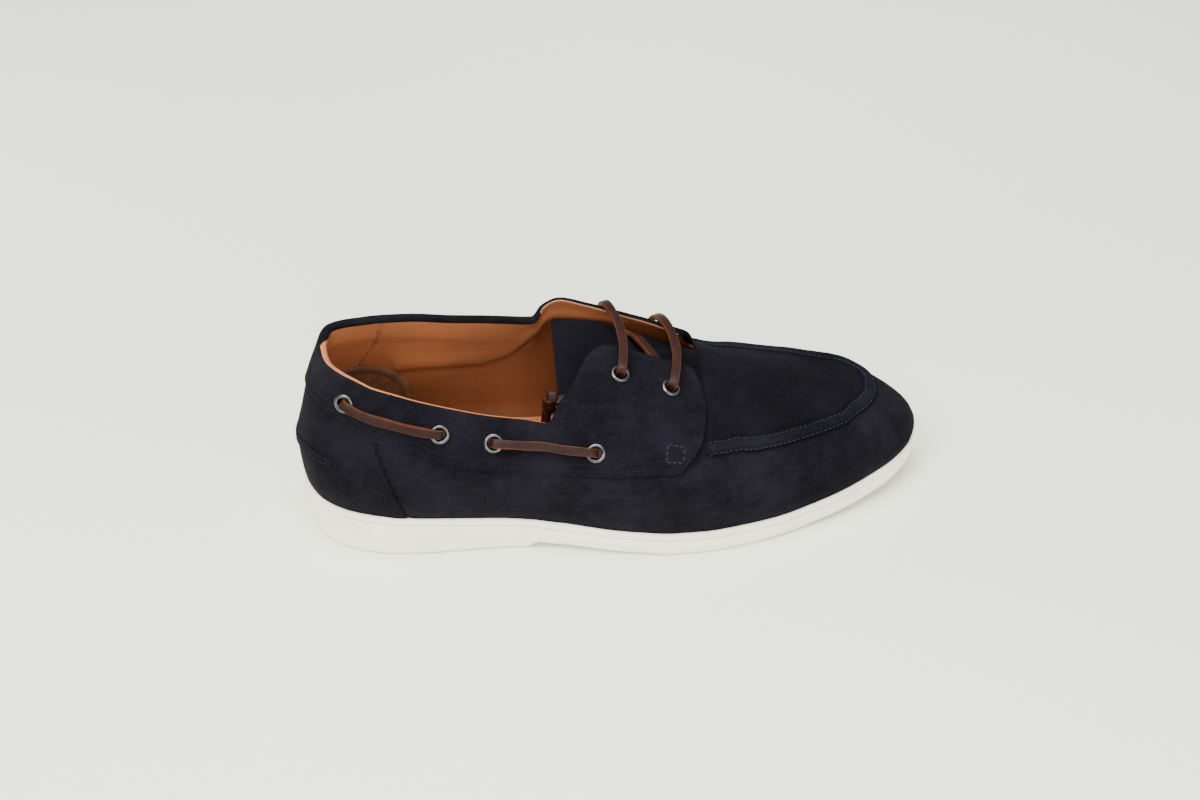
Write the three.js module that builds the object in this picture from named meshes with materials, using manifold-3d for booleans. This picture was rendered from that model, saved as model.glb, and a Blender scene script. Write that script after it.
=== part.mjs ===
// Boat shoe, right foot. Millimetres. +X points to the toe, +Y to the inner (medial) side, +Z up.
// The group's origin is the centre of the heel's flat tread, on the ground.
import * as THREE from 'three';
import { mergeVertices } from 'three/addons/utils/BufferGeometryUtils.js';
import Module from 'manifold-3d';

const wasm = await Module();
wasm.setup();

// ---------- driving dimensions ----------
const SOLE_LENGTH = 300;
const HEEL_CENTRE = 52;          // from the back of the heel to the centre of its tread
const HEEL_FAN = { x: 38, y: 0 };   // sections of the heel radiate from here
const TOE_FAN = { x: 258, y: 8 };   // sections of the toe radiate from here
const THROAT_END = 190;          // where the facings stop and the vamp closes
const WALL = 2.0;                // suede and lining together
const GAP = 0.35;                // air between touching pieces
const BREAST_X = 104;            // front of the heel block
const TREAD_X = 170;             // where the forefoot tread begins
const SPRING_X = 205;            // where the toe starts to lift
const TOE_SPRING = 8.6;
const ARCH_RISE = 3.0;
const RIM_BAND = 4.2;            // height of the sole's upper band
const GROOVE = 0.9;
const INSOLE_THICK = 2.6;
const TONGUE_THICK = 1.8;
const EYELET = { flange: 4.7, bore: 2.4, barrel: 2.9, rise: 0.9, hole: 3.3 };
const LACE_RADIUS = 1.8;
const LACE_SAG = 0.4;            // of a side run, at its middle
const BAR_BOW = 3.5;             // how far a bar bows towards the toe
const PROFILE_STEPS = 13;

// ---------- sections of the upper ----------
// x, y      the outline at the sole's rim           foot     height of the feather line
// bulge     how far the wall swells out             wall*    lower side wall
// side*     shoulder: band seam, or the toe's rib   fore*    between shoulder and top
// top*      collar rim or facing edge; the vamp's sections end on the crown line
// *In is the distance in from the outline, *Z the height.
const COLUMNS = ['x', 'y', 'foot', 'bulge', 'wallIn', 'wallZ', 'sideIn', 'sideZ', 'foreIn', 'foreZ', 'topIn', 'topZ'];
const HEEL_ROW = [0, 0, 25.4, 0.9, -0.6, 50, 2.8, 62, 8, 80, 15.2, 96];
const TOE_ROW = [300, 9, 20.5, -0.4, 6.2, 35.2, 19.5, 42, 30, 47.2, 42, 51.5];
const LATERAL_ROWS = [
  [8, -21.7, 25.2, 1.4, -1.2, 48, 1.8, 60, 6.5, 77, 12.6, 94.5],
  [25, -34.3, 24.3, 2.0, -2, 46, 0.9, 58, 5.8, 74, 11.4, 91],
  [45, -39.1, 23.0, 2.2, -2.2, 44, 0, 57, 5, 70, 11, 84.5],
  [60, -39.9, 21.8, 2.3, -2.4, 41, -1.3, 53, 3.6, 66, 10.4, 79],
  [75, -39.8, 20.5, 2.4, -2.6, 39, -2, 50, 3, 62, 9.8, 74],
  [90, -39.8, 19.2, 2.4, -2.6, 37.5, -2.2, 48, 2.6, 59.5, 9.3, 69.8],
  [105, -40.9, 17.9, 2.2, -2.4, 36, -1.8, 47, 3, 57.3, 10.4, 66.6],
  [116, -43.0, 17.0, 2.0, -2.2, 35, -1.5, 45.5, 4.8, 56.4, 12.5, 64.2],
  [122, -44.1, 16.5, 2.0, -2.1, 34.5, -1.3, 45, 8, 60, 21, 70.4],
  [128, -45.6, 16.0, 2.0, -2.0, 34, -1.1, 44.5, 12, 63.4, 28, 75.5],
  [133, -46.9, 15.6, 1.9, -1.9, 33.7, -1, 44.5, 15.5, 65.8, 36.5, 79.6],
  [138, -48.2, 15.2, 1.9, -1.8, 33.5, -0.9, 44.5, 19, 67.8, 46, 82.6],
  [143, -49.4, 14.9, 1.8, -1.7, 33.3, -0.8, 44.5, 21, 68.8, 51, 83.4],
  [157, -51.7, 14.0, 1.7, -1.5, 33, -0.4, 44.5, 23.7, 68, 54.7, 79.3],
  [171, -53.5, 13.6, 1.6, -1.3, 32.5, 1.4, 44.5, 25.4, 64.2, 54.4, 74.6],
  [186, -53.3, 13.4, 1.5, -0.8, 31.5, 5.5, 43.5, 25.3, 58.5, 51.3, 69.3],
  [205, -50.5, 13.3, 1.4, 0.4, 31, 12.5, 46, 33, 59, 0, 0],
  [221, -46.8, 13.3, 1.3, 0.8, 31, 13.5, 44.6, 32, 55.5, 0, 0],
  [239, -40.5, 14.1, 1.2, 1.4, 31.5, 13.5, 43.8, 29, 51.4, 0, 0],
  [255, -34.1, 15.5, 1.0, 2.2, 32.5, 14.5, 43.2, 27, 48.6, 0, 0],
  [270, -26.4, 17.3, 0.8, 3, 33.5, 16.6, 42.6, 26.5, 47.6, 0, 0],
  [285, -16.4, 19.0, 0.4, 4.2, 34.2, 17.6, 42.2, 27, 47.3, 0, 0],
  [296, -3.5, 20.2, 0.2, 5, 35, 18.8, 42, 28, 47.2, 0, 0],
];
const MEDIAL_ROWS = [
  [8, 21.7, 25.2, 1.4, -1.2, 48, 1.7, 60, 6, 77, 11.8, 95],
  [25, 33.0, 24.3, 2.0, -2, 46, 0.5, 60, 5, 77, 10.8, 92.8],
  [45, 37.0, 23.0, 2.2, -2.2, 44, -0.6, 58, 3.6, 74, 10, 91],
  [60, 38.0, 21.8, 2.4, -2.4, 41, -1.6, 54, 2, 71, 7.6, 88],
  [75, 38.0, 20.5, 2.6, -2.8, 39, -2.4, 51, 0.4, 67, 5.5, 84.6],
  [90, 37.7, 19.2, 3.0, -3.4, 38, -3.2, 50, -0.6, 65, 4.2, 82.6],
  [105, 37.5, 17.9, 3.2, -3.8, 37, -3.6, 49, -1, 64, 3.5, 80.6],
  [113, 38.0, 17.2, 3.2, -3.8, 36.5, -3.6, 49, -0.8, 64, 3.7, 79.8],
  [118.5, 38.5, 16.8, 3.0, -3.6, 36.2, -3.3, 49.5, -0.4, 67, 4, 86.6],
  [126.5, 39.6, 16.2, 2.8, -3.3, 36, -2.8, 50, 0.8, 70, 5.4, 90.2],
  [139, 42.6, 15.2, 2.6, -2.8, 35.5, -1.8, 50, 3.8, 69.5, 9.4, 87.1],
  [158, 47.2, 14.0, 2.2, -2, 34.5, 0.6, 49, 8.5, 67, 17, 81.6],
  [172, 49.8, 13.6, 2.0, -1.4, 34, 2.6, 48, 12.5, 65, 23, 78],
  [186, 51.0, 13.4, 1.8, -0.8, 33.8, 4.6, 47.5, 16, 62.5, 29.5, 74],
  [205, 50.6, 13.3, 1.5, 0.4, 36, 11.6, 54.2, 25, 61.8, 0, 0],
  [221, 50.0, 13.3, 1.3, 1.0, 35.5, 11, 52, 25, 59, 0, 0],
  [239, 48.3, 14.1, 1.1, 1.6, 35, 10, 49.5, 24, 55.4, 0, 0],
  [255, 45.2, 15.5, 0.9, 2.0, 35, 9.6, 47.4, 23, 51.8, 0, 0],
  [270, 40.0, 17.3, 0.7, 2.4, 35.2, 9, 46, 21, 50.4, 0, 0],
  [285, 31.0, 19.0, 0.3, 3.8, 35.4, 11.2, 43.8, 22, 49, 0, 0],
  [294, 22.0, 20.0, 0.1, 4.8, 35.4, 14.6, 42.6, 26, 48, 0, 0],
];
// The crown line of vamp and tongue.
const CROWN = [
  { x: 118, y: 13, z: 84 },
  { x: 140, y: 13.5, z: 80.2 },
  { x: 156, y: 13.5, z: 76.8 },
  { x: 172, y: 13, z: 73.2 },
  { x: 188, y: 12.5, z: 69.8 },
  { x: 205, y: 12, z: 66.2 },
  { x: 222, y: 11, z: 61.8 },
  { x: 240, y: 9.5, z: 56.8 },
  { x: 258, y: 8, z: 51.5 },
];
// Cross-sections of the tongue's top face: its two edges beside the crown.
const TONGUE_ROWS = [
  { x: 122, outY: -22, outZ: 63, inY: 28.5, inZ: 83 },
  { x: 140, outY: -23, outZ: 61.5, inY: 29, inZ: 80.5 },
  { x: 160, outY: -23, outZ: 58.5, inY: 27.5, inZ: 73.5 },
  { x: 180, outY: -21, outZ: 54.5, inY: 26, inZ: 66 },
  { x: 200, outY: -16, outZ: 52, inY: 26, inZ: 57.5 },
];
// Eyelets along each side, by station and height on the outer face.
const EYELETS = {
  lateral: [
    { x: 23, z: 81.5 }, { x: 67.3, z: 67.2 }, { x: 91, z: 61 }, { x: 137, z: 55 },
    { x: 151, z: 76.2 }, { x: 174, z: 68.6 },
  ],
  medial: [
    { x: 23, z: 82 }, { x: 66, z: 72 }, { x: 90, z: 68 }, { x: 132, z: 62 },
    { x: 146, z: 76 }, { x: 170, z: 70 },
  ],
};

// ---------- interpolation ----------
// Shape-preserving cubic through rows, closed on itself over the given period.
function periodicCubic(knots, values, period) {
  const count = knots.length;
  const step = (i) => (i + 1 < count ? knots[i + 1] : knots[0] + period) - knots[i];
  const slope = (i) => (values[(i + 1) % count] - values[i]) / step(i);
  const tangents = values.map((_, i) => {
    const before = (i + count - 1) % count;
    const a = slope(before);
    const b = slope(i);
    if (a * b <= 0) {
      return 0;
    }
    const wa = 2 * step(i) + step(before);
    const wb = step(i) + 2 * step(before);
    return (wa + wb) / (wa / a + wb / b);
  });
  return (at) => {
    const s = ((at % period) + period) % period;
    let i = count - 1;
    while (i > 0 && knots[i] > s) {
      i -= 1;
    }
    const h = step(i);
    const t = (s - knots[i]) / h;
    const j = (i + 1) % count;
    const t2 = t * t;
    const t3 = t2 * t;
    return (2 * t3 - 3 * t2 + 1) * values[i] + (t3 - 2 * t2 + t) * h * tangents[i]
      + (3 * t2 - 2 * t3) * values[j] + (t3 - t2) * h * tangents[j];
  };
}

// A plain smooth curve through rows of one table, read by x.
function columnByX(rows, key) {
  const far = 1000;
  const knots = rows.map((row) => row.x);
  const values = rows.map((row) => row[key]);
  const curve = periodicCubic([...knots, knots.at(-1) + far], [...values, values.at(-1)], 3 * far + knots.at(-1));
  return (x) => curve(Math.min(Math.max(x, knots[0]), knots.at(-1)));
}

const LOOP = [HEEL_ROW, ...LATERAL_ROWS, TOE_ROW, ...[...MEDIAL_ROWS].reverse()];
const KNOTS = [0];
for (let i = 0; i + 1 < LOOP.length; i += 1) {
  KNOTS.push(KNOTS[i] + Math.hypot(LOOP[i + 1][0] - LOOP[i][0], LOOP[i + 1][1] - LOOP[i][1]));
}
const lastRow = LOOP.at(-1);
const PERIMETER = KNOTS.at(-1) + Math.hypot(lastRow[0] - LOOP[0][0], lastRow[1] - LOOP[0][1]);
const TOE_AT = KNOTS[LATERAL_ROWS.length + 1];
const column = Object.fromEntries(COLUMNS.map((name, i) => (
  [name, periodicCubic(KNOTS, LOOP.map((row) => row[i]), PERIMETER)]
)));
const crownY = columnByX(CROWN, 'y');
const crownZ = columnByX(CROWN, 'z');

// The distance along the outline at which one side reaches x.
function stationAt(x, side) {
  let low = side === 'lateral' ? 0 : PERIMETER;
  let high = TOE_AT;
  for (let i = 0; i < 50; i += 1) {
    const mid = (low + high) / 2;
    if (column.x(mid) < x) {
      low = mid;
    } else {
      high = mid;
    }
  }
  return (low + high) / 2;
}

// ---------- the upper's outer face ----------
function spinePoint(x) {
  const cx = Math.min(Math.max(x, HEEL_FAN.x), TOE_FAN.x);
  if (cx < CROWN[0].x) {
    const share = (cx - HEEL_FAN.x) / (CROWN[0].x - HEEL_FAN.x);
    return new THREE.Vector2(cx, HEEL_FAN.y + share * (CROWN[0].y - HEEL_FAN.y));
  }
  return new THREE.Vector2(cx, crownY(cx));
}

// One section: the outline point, its direction inwards, and its profile as a spline of (inset, height).
function section(at) {
  const row = Object.fromEntries(COLUMNS.map((name) => [name, column[name](at)]));
  const foot = new THREE.Vector2(row.x, row.y);
  const spine = spinePoint(row.x);
  const inward = spine.clone().sub(foot);
  const reach = inward.length();
  inward.normalize();
  const closed = row.x > THROAT_END;
  const top = closed
    ? new THREE.Vector2(reach, crownZ(spine.x))
    : new THREE.Vector2(row.topIn, row.topZ);
  const swell = new THREE.Vector2(-row.bulge, row.foot + 0.4 * (row.wallZ - row.foot));
  const profile = [
    new THREE.Vector2(0, row.foot),
    swell,
    new THREE.Vector2(row.wallIn, row.wallZ),
    new THREE.Vector2(row.sideIn, row.sideZ),
    new THREE.Vector2(row.foreIn, row.foreZ),
    top,
  ];
  // A closed section mirrors itself past the crown, so that the crown is level across.
  if (closed) {
    profile.push(new THREE.Vector2(2 * top.x - row.foreIn, row.foreZ));
  }
  const share = closed ? 5 / 6 : 1;
  return { foot, inward, spline: new THREE.SplineCurve(profile), share, closed };
}

function onSection(part, t) {
  const p = part.spline.getPoint(t * part.share);
  return new THREE.Vector3(part.foot.x + part.inward.x * p.x, part.foot.y + part.inward.y * p.x, p.y);
}

function surface(at, t) {
  return onSection(section(at), t);
}

// Outward unit normal of the outer face.
function surfaceNormal(at, t) {
  const t0 = Math.max(t - 0.01, 0);
  const t1 = Math.min(t + 0.01, 1);
  const along = surface(at + 0.5, t).sub(surface(at - 0.5, t));
  const up = surface(at, t1).sub(surface(at, t0));
  return along.cross(up).normalize();
}

// ---------- mesh helpers ----------
class MeshBuilder {
  constructor() {
    this.points = [];
    this.faces = [];
  }

  add(point) {
    this.points.push(point.x, point.y, point.z);
    return this.points.length / 3 - 1;
  }

  quad(a, b, c, d) {
    this.faces.push(a, b, c, a, c, d);
  }

  geometry() {
    const loose = new THREE.BufferGeometry();
    loose.setAttribute('position', new THREE.Float32BufferAttribute(this.points, 3));
    loose.setIndex(this.faces);
    return weld(loose);
  }
}

// Merge equal vertices and drop the faces that fold to nothing.
function weld(source) {
  const plain = source.clone();
  plain.deleteAttribute('normal');
  plain.deleteAttribute('uv');
  const merged = mergeVertices(plain, 1e-3);
  const index = merged.getIndex().array;
  const kept = [];
  for (let i = 0; i < index.length; i += 3) {
    const [a, b, c] = [index[i], index[i + 1], index[i + 2]];
    if (a !== b && b !== c && a !== c) {
      kept.push(a, b, c);
    }
  }
  merged.setIndex(kept);
  return merged;
}

function toSolid(geometry) {
  const vertProperties = new Float32Array(geometry.getAttribute('position').array);
  const triVerts = new Uint32Array(geometry.getIndex().array);
  return new wasm.Manifold(new wasm.Mesh({ numProp: 3, vertProperties, triVerts }));
}

function fromSolid(solid) {
  const mesh = solid.getMesh();
  const geometry = new THREE.BufferGeometry();
  geometry.setAttribute('position', new THREE.BufferAttribute(mesh.vertProperties, 3));
  geometry.setIndex(new THREE.BufferAttribute(mesh.triVerts, 1));
  return geometry;
}

// Stations for a mesh: the same x on both sides, so that strips across the shoe meet.
function pairedStations(xs) {
  return xs.map((x) => ({ x, lateral: stationAt(x, 'lateral'), medial: stationAt(x, 'medial') }));
}

// ---------- upper ----------
function upperStations() {
  const open = [2, 6, 12, 20, 30, 40, 52, 64, 76, 88, 100, 110, 116, 119.5, 123, 127, 131, 135, 139, 144, 151, 159, 167,
    175, 182, THROAT_END - 1];
  const vamp = [THROAT_END + 1.5, 198, 206, 214, 222, 230, 238, 246, 252, TOE_FAN.x];
  const paired = pairedStations([...open, ...vamp]);
  const lateralEnd = paired.at(-1).lateral;
  const medialEnd = paired.at(-1).medial;
  const fan = [];
  const fanCount = 16;
  for (let i = 1; i < fanCount; i += 1) {
    fan.push(lateralEnd + (medialEnd - lateralEnd) * (i / fanCount));
  }
  return [0, ...paired.map((p) => p.lateral), ...fan, ...paired.map((p) => p.medial).reverse()];
}

function upperShell(stations) {
  const build = new MeshBuilder();
  const rows = stations.map((at) => {
    const part = section(at);
    const outer = [];
    const inner = [];
    for (let k = 0; k <= PROFILE_STEPS; k += 1) {
      const t = k / PROFILE_STEPS;
      const point = onSection(part, t);
      const normal = part.closed && k === PROFILE_STEPS ? new THREE.Vector3(0, 0, 1) : surfaceNormal(at, t);
      if (k === 0) {
        normal.set(normal.x, normal.y, 0).normalize();
      }
      outer.push(build.add(point));
      inner.push(build.add(point.clone().addScaledVector(normal, -WALL)));
    }
    return { outer, inner, closed: part.closed };
  });
  rows.forEach((row, i) => {
    const next = rows[(i + 1) % rows.length];
    for (let k = 0; k < PROFILE_STEPS; k += 1) {
      build.quad(row.outer[k], next.outer[k], next.outer[k + 1], row.outer[k + 1]);
      build.quad(row.inner[k], row.inner[k + 1], next.inner[k + 1], next.inner[k]);
    }
    build.quad(row.outer[0], row.inner[0], next.inner[0], next.outer[0]);
    if (!(row.closed && next.closed)) {
      const last = PROFILE_STEPS;
      build.quad(row.outer[last], next.outer[last], next.inner[last], row.inner[last]);
    }
  });
  return build.geometry();
}

// Where an eyelet sits: its centre on the outer face and the way out.
function eyeletPlace(side, spot) {
  const at = stationAt(spot.x, side);
  let low = 0.3;
  let high = 1;
  for (let i = 0; i < 40; i += 1) {
    const mid = (low + high) / 2;
    if (surface(at, mid).z < spot.z) {
      low = mid;
    } else {
      high = mid;
    }
  }
  return { centre: surface(at, low), out: surfaceNormal(at, low) };
}

function aimAlong(geometry, place) {
  const turn = new THREE.Quaternion().setFromUnitVectors(new THREE.Vector3(0, 1, 0), place.out);
  geometry.applyQuaternion(turn);
  geometry.translate(place.centre.x, place.centre.y, place.centre.z);
  return geometry;
}

const places = {
  lateral: EYELETS.lateral.map((spot) => eyeletPlace('lateral', spot)),
  medial: EYELETS.medial.map((spot) => eyeletPlace('medial', spot)),
};

function upperGeometry() {
  let solid = toSolid(upperShell(upperStations()));
  for (const place of [...places.lateral, ...places.medial]) {
    const drill = weld(aimAlong(new THREE.CylinderGeometry(EYELET.hole, EYELET.hole, 4 * WALL, 10), place));
    solid = solid.subtract(toSolid(drill));
  }
  return fromSolid(solid);
}

// ---------- eyelets ----------
function eyeletGeometry(place) {
  const low = -WALL - 0.3;
  const profile = [
    [EYELET.bore, low], [EYELET.barrel, low], [EYELET.barrel, GAP], [EYELET.flange, GAP],
    [EYELET.flange - 0.6, GAP + EYELET.rise], [EYELET.bore + 0.4, GAP + EYELET.rise], [EYELET.bore, low],
  ].map(([r, h]) => new THREE.Vector2(r, h));
  return weld(aimAlong(new THREE.LatheGeometry(profile, 10), place));
}

// ---------- sole ----------
function soleBottom(x) {
  const spring = TOE_SPRING * Math.max((x - SPRING_X) / (SOLE_LENGTH - SPRING_X), 0) ** 2;
  const front = Math.min(Math.max((TREAD_X - x) / 60, 0), 1);
  const arch = x > BREAST_X ? ARCH_RISE * Math.min((x - BREAST_X) / 4, 1) * front : 0;
  return spring + arch;
}

function soleGeometry() {
  const build = new MeshBuilder();
  const xs = [0, 1.5, 5, 10, 17, 26, 37, 50, 65, 80, 95, BREAST_X, BREAST_X + 4, 120, 135, 150, TREAD_X, 185, SPRING_X,
    218, 230, 242, 253, 263, 272, 280, 287, 293, 297, 299.2, SOLE_LENGTH];
  const rings = (x, foot) => {
    const low = soleBottom(x);
    const seat = foot - GAP;
    const groove = seat - RIM_BAND;
    return [
      { inset: 3.2, z: low },
      { inset: 1.2, z: low + 1.2 },
      { inset: 0.4, z: low + 4 },
      { inset: 0.3, z: groove - 0.5 },
      { inset: GROOVE, z: groove },
      { inset: 0, z: groove + 0.6 },
      { inset: 0, z: seat - 0.8 },
      { inset: 0.8, z: seat },
    ];
  };
  const place = (at) => {
    const part = section(at);
    const edge = surface(at + 0.5, 0).sub(surface(at - 0.5, 0)).setZ(0).normalize();
    const inward = new THREE.Vector2(-edge.y, edge.x);
    return rings(part.foot.x, column.foot(at)).map((ring) => build.add(new THREE.Vector3(
      part.foot.x + inward.x * ring.inset,
      part.foot.y + inward.y * ring.inset,
      ring.z,
    )));
  };
  const pairs = pairedStations(xs).map((p, i) => {
    const lone = i === 0 || i === xs.length - 1;
    const lateral = place(lone ? (i === 0 ? 0 : TOE_AT) : p.lateral);
    return { lateral, medial: lone ? lateral : place(p.medial) };
  });
  for (let i = 0; i + 1 < pairs.length; i += 1) {
    const a = pairs[i];
    const b = pairs[i + 1];
    const last = a.lateral.length - 1;
    for (let k = 0; k < last; k += 1) {
      build.quad(a.lateral[k], b.lateral[k], b.lateral[k + 1], a.lateral[k + 1]);
      build.quad(a.medial[k], a.medial[k + 1], b.medial[k + 1], b.medial[k]);
    }
    build.quad(a.lateral[0], a.medial[0], b.medial[0], b.lateral[0]);
    build.quad(a.lateral[last], b.lateral[last], b.medial[last], a.medial[last]);
  }
  return build.geometry();
}

// ---------- insole ----------
// A thin sheet across the shoe, between two insets of the outline.
function floorSheet(xs, inset, lift, thick) {
  const build = new MeshBuilder();
  const place = (at) => {
    const part = section(at);
    const edge = surface(at + 0.5, 0).sub(surface(at - 0.5, 0)).setZ(0).normalize();
    const x = part.foot.x - edge.y * inset;
    const y = part.foot.y + edge.x * inset;
    const z = column.foot(at) + lift;
    return [build.add(new THREE.Vector3(x, y, z)), build.add(new THREE.Vector3(x, y, z + thick))];
  };
  const pairs = pairedStations(xs).map((p, i) => {
    const lone = i === 0 || i === xs.length - 1;
    const lateral = place(lone ? (i === 0 ? 0 : TOE_AT) : p.lateral);
    return { lateral, medial: lone ? lateral : place(p.medial) };
  });
  for (let i = 0; i + 1 < pairs.length; i += 1) {
    const a = pairs[i];
    const b = pairs[i + 1];
    build.quad(a.lateral[0], b.lateral[0], b.lateral[1], a.lateral[1]);
    build.quad(a.medial[0], a.medial[1], b.medial[1], b.medial[0]);
    build.quad(a.lateral[0], a.medial[0], b.medial[0], b.lateral[0]);
    build.quad(a.lateral[1], b.lateral[1], b.medial[1], a.medial[1]);
  }
  return build.geometry();
}

function insoleGeometry() {
  const xs = [0, 3, 8, 16, 28, 42, 58, 76, 94, 112, 130, 150, 170, 190, 208, 225, 240, 253, 264, 274, 283, 290, 295,
    SOLE_LENGTH];
  return floorSheet(xs, WALL + GAP + 0.35, 0.3, INSOLE_THICK);
}

// ---------- tongue ----------
function tongueGeometry() {
  const build = new MeshBuilder();
  const across = 14;
  const column3 = ['outY', 'outZ', 'inY', 'inZ'].map((key) => columnByX(TONGUE_ROWS, key));
  const xs = [122, 130, 138, 146, 154, 162, 170, 178, 186, 193, 200];
  const drop = WALL + GAP + 1.3;
  const rows = xs.map((x) => {
    const [outY, outZ, inY, inZ] = column3.map((read) => read(x));
    const curve = new THREE.SplineCurve([
      new THREE.Vector2(outY, outZ),
      new THREE.Vector2((outY + crownY(x)) / 2, outZ + 0.66 * (crownZ(x) - drop - outZ)),
      new THREE.Vector2(crownY(x), crownZ(x) - drop),
      new THREE.Vector2(inY, inZ),
    ]);
    const over = [];
    const under = [];
    for (let k = 0; k <= across; k += 1) {
      const p = curve.getPoint(k / across);
      const tangent = curve.getTangent(k / across);
      over.push(build.add(new THREE.Vector3(x, p.x, p.y)));
      under.push(build.add(new THREE.Vector3(x, p.x + tangent.y * TONGUE_THICK, p.y - tangent.x * TONGUE_THICK)));
    }
    return { over, under };
  });
  for (let i = 0; i + 1 < rows.length; i += 1) {
    const a = rows[i];
    const b = rows[i + 1];
    for (let k = 0; k < across; k += 1) {
      build.quad(a.over[k], b.over[k], b.over[k + 1], a.over[k + 1]);
      build.quad(a.under[k], a.under[k + 1], b.under[k + 1], b.under[k]);
    }
    build.quad(a.over[0], a.under[0], b.under[0], b.over[0]);
    build.quad(a.over[across], b.over[across], b.under[across], a.under[across]);
  }
  for (const [row, first] of [[rows[0], true], [rows.at(-1), false]]) {
    for (let k = 0; k < across; k += 1) {
      if (first) {
        build.quad(row.over[k], row.over[k + 1], row.under[k + 1], row.under[k]);
      } else {
        build.quad(row.over[k], row.under[k], row.under[k + 1], row.over[k + 1]);
      }
    }
  }
  return build.geometry();
}

// ---------- laces ----------
function tube(points, radius, steps) {
  const round = new THREE.Shape();
  for (let i = 0; i < 8; i += 1) {
    const turn = (i / 8) * 2 * Math.PI;
    const corner = [radius * Math.cos(turn), radius * Math.sin(turn)];
    if (i === 0) {
      round.moveTo(...corner);
    } else {
      round.lineTo(...corner);
    }
  }
  round.closePath();
  const path = new THREE.CatmullRomCurve3(points, false, 'centripetal');
  return weld(new THREE.ExtrudeGeometry(round, { steps, extrudePath: path, bevelEnabled: false }));
}

// A point over an eyelet, on its axis.
function over(place, height) {
  return place.centre.clone().addScaledVector(place.out, height);
}

// A run of lace from one eyelet to the next, just off the side wall.
function sideRun(from, to, side) {
  const points = [over(from, -3.2), over(from, -0.4), over(from, 2.2)];
  const [a, b] = [from, to].map((place) => EYELETS[side][places[side].indexOf(place)]);
  for (const share of [0.14, 0.32, 0.5, 0.68, 0.86]) {
    const middle = 4 * share * (1 - share);
    const spot = eyeletPlace(side, {
      x: a.x + (b.x - a.x) * share,
      z: a.z + (b.z - a.z) * share - LACE_SAG * middle,
    });
    points.push(over(spot, LACE_RADIUS + 2.3 - 1.1 * middle));
  }
  points.push(over(to, 2.2), over(to, -0.4), over(to, -3.2));
  return tube(points, LACE_RADIUS, 22);
}

// A bar from a facing eyelet, over the throat and the inner facing's edge, into the eyelet outside it.
function barRun(index, edgeX) {
  const from = places.lateral[index];
  const to = places.medial[index];
  const edge = surface(stationAt(edgeX, 'medial'), 1);
  const high = edge.clone().add(new THREE.Vector3(0, 0, LACE_RADIUS + 1.2));
  const start = over(from, 4);
  const between = (share) => start.clone().lerp(high, share).add(new THREE.Vector3(BAR_BOW, 0, 1.8));
  const outside = over(to, LACE_RADIUS + 3.4).lerp(high, 0.35).add(new THREE.Vector3(0, 1.8, 0));
  const points = [
    over(from, -3.2), over(from, -0.4), over(from, 2), start,
    between(0.33), between(0.66),
    high, outside, over(to, 3), over(to, 0), over(to, -3.2),
  ];
  return tube(points, LACE_RADIUS, 28);
}

const LACE_END = [[140.5, -12.2, 72.6], [136, -15, 71.6], [129, -17, 69.8], [122, -17.6, 68.4]];
const LACE_KNOT = [117, -17.6, 67];
const LACE_TAIL = [[116.4, -18, 62.8], [115.6, -19.2, 58], [114.6, -21, 52.5]];
const KNOT_RADIUS = 3.2;

const toVector = (p) => new THREE.Vector3(...p);

// ---------- materials ----------
const finish = (color, roughness, metalness = 0) => new THREE.MeshStandardMaterial({ color, roughness, metalness });
const SUEDE = finish(0x10121f, 0.95);
const RUBBER = finish(0xe9e7e0, 0.6);
const TAN = finish(0xb8693a, 0.5);
const METAL = finish(0x5b6068, 0.35, 1);
const THONG = finish(0x6b3420, 0.5);

// ---------- assembly ----------
const shoe = new THREE.Group();
shoe.name = 'boat_shoe';
shoe.position.set(-HEEL_CENTRE, 0, 0);

function addPiece(name, geometry, material) {
  const mesh = new THREE.Mesh(geometry, material);
  mesh.name = name;
  shoe.add(mesh);
}

addPiece('sole', soleGeometry(), RUBBER);
addPiece('insole', insoleGeometry(), TAN);
addPiece('upper', upperGeometry(), SUEDE);
addPiece('tongue', tongueGeometry(), SUEDE);
for (const side of ['lateral', 'medial']) {
  places[side].forEach((place, i) => addPiece(`eyelet_${side}_${i + 1}`, eyeletGeometry(place), METAL));
  const [a, b, c, d] = places[side];
  addPiece(`lace_${side}_back`, sideRun(a, b, side), THONG);
  addPiece(`lace_${side}_mid`, sideRun(c, d, side), THONG);
}
addPiece('lace_bar_rear', barRun(4, 149), THONG);
addPiece('lace_bar_front', barRun(5, 176), THONG);
addPiece('lace_end', tube(LACE_END.map(toVector), LACE_RADIUS, 8), THONG);
addPiece('lace_tail', tube(LACE_TAIL.map(toVector), LACE_RADIUS, 4), THONG);
const knot = new THREE.SphereGeometry(KNOT_RADIUS, 10, 8);
knot.translate(...LACE_KNOT);
addPiece('lace_knot', weld(knot), THONG);

const model = new THREE.Group();
model.add(shoe);
export default model;
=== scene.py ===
"""Boat shoe, right foot: a suede upper on a moulded sole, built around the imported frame.

The shoe is drawn in its own millimetres: x runs from the back of the heel to the toe, y to the
inner (medial) side and z up from the floor. ``place`` turns that into the frame's metres.
"""
from __future__ import annotations

import logging
import math
from dataclasses import dataclass, field
from enum import Enum
from typing import Callable, Sequence

import bpy
import numpy as np
from mathutils import Matrix, Vector


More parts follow.
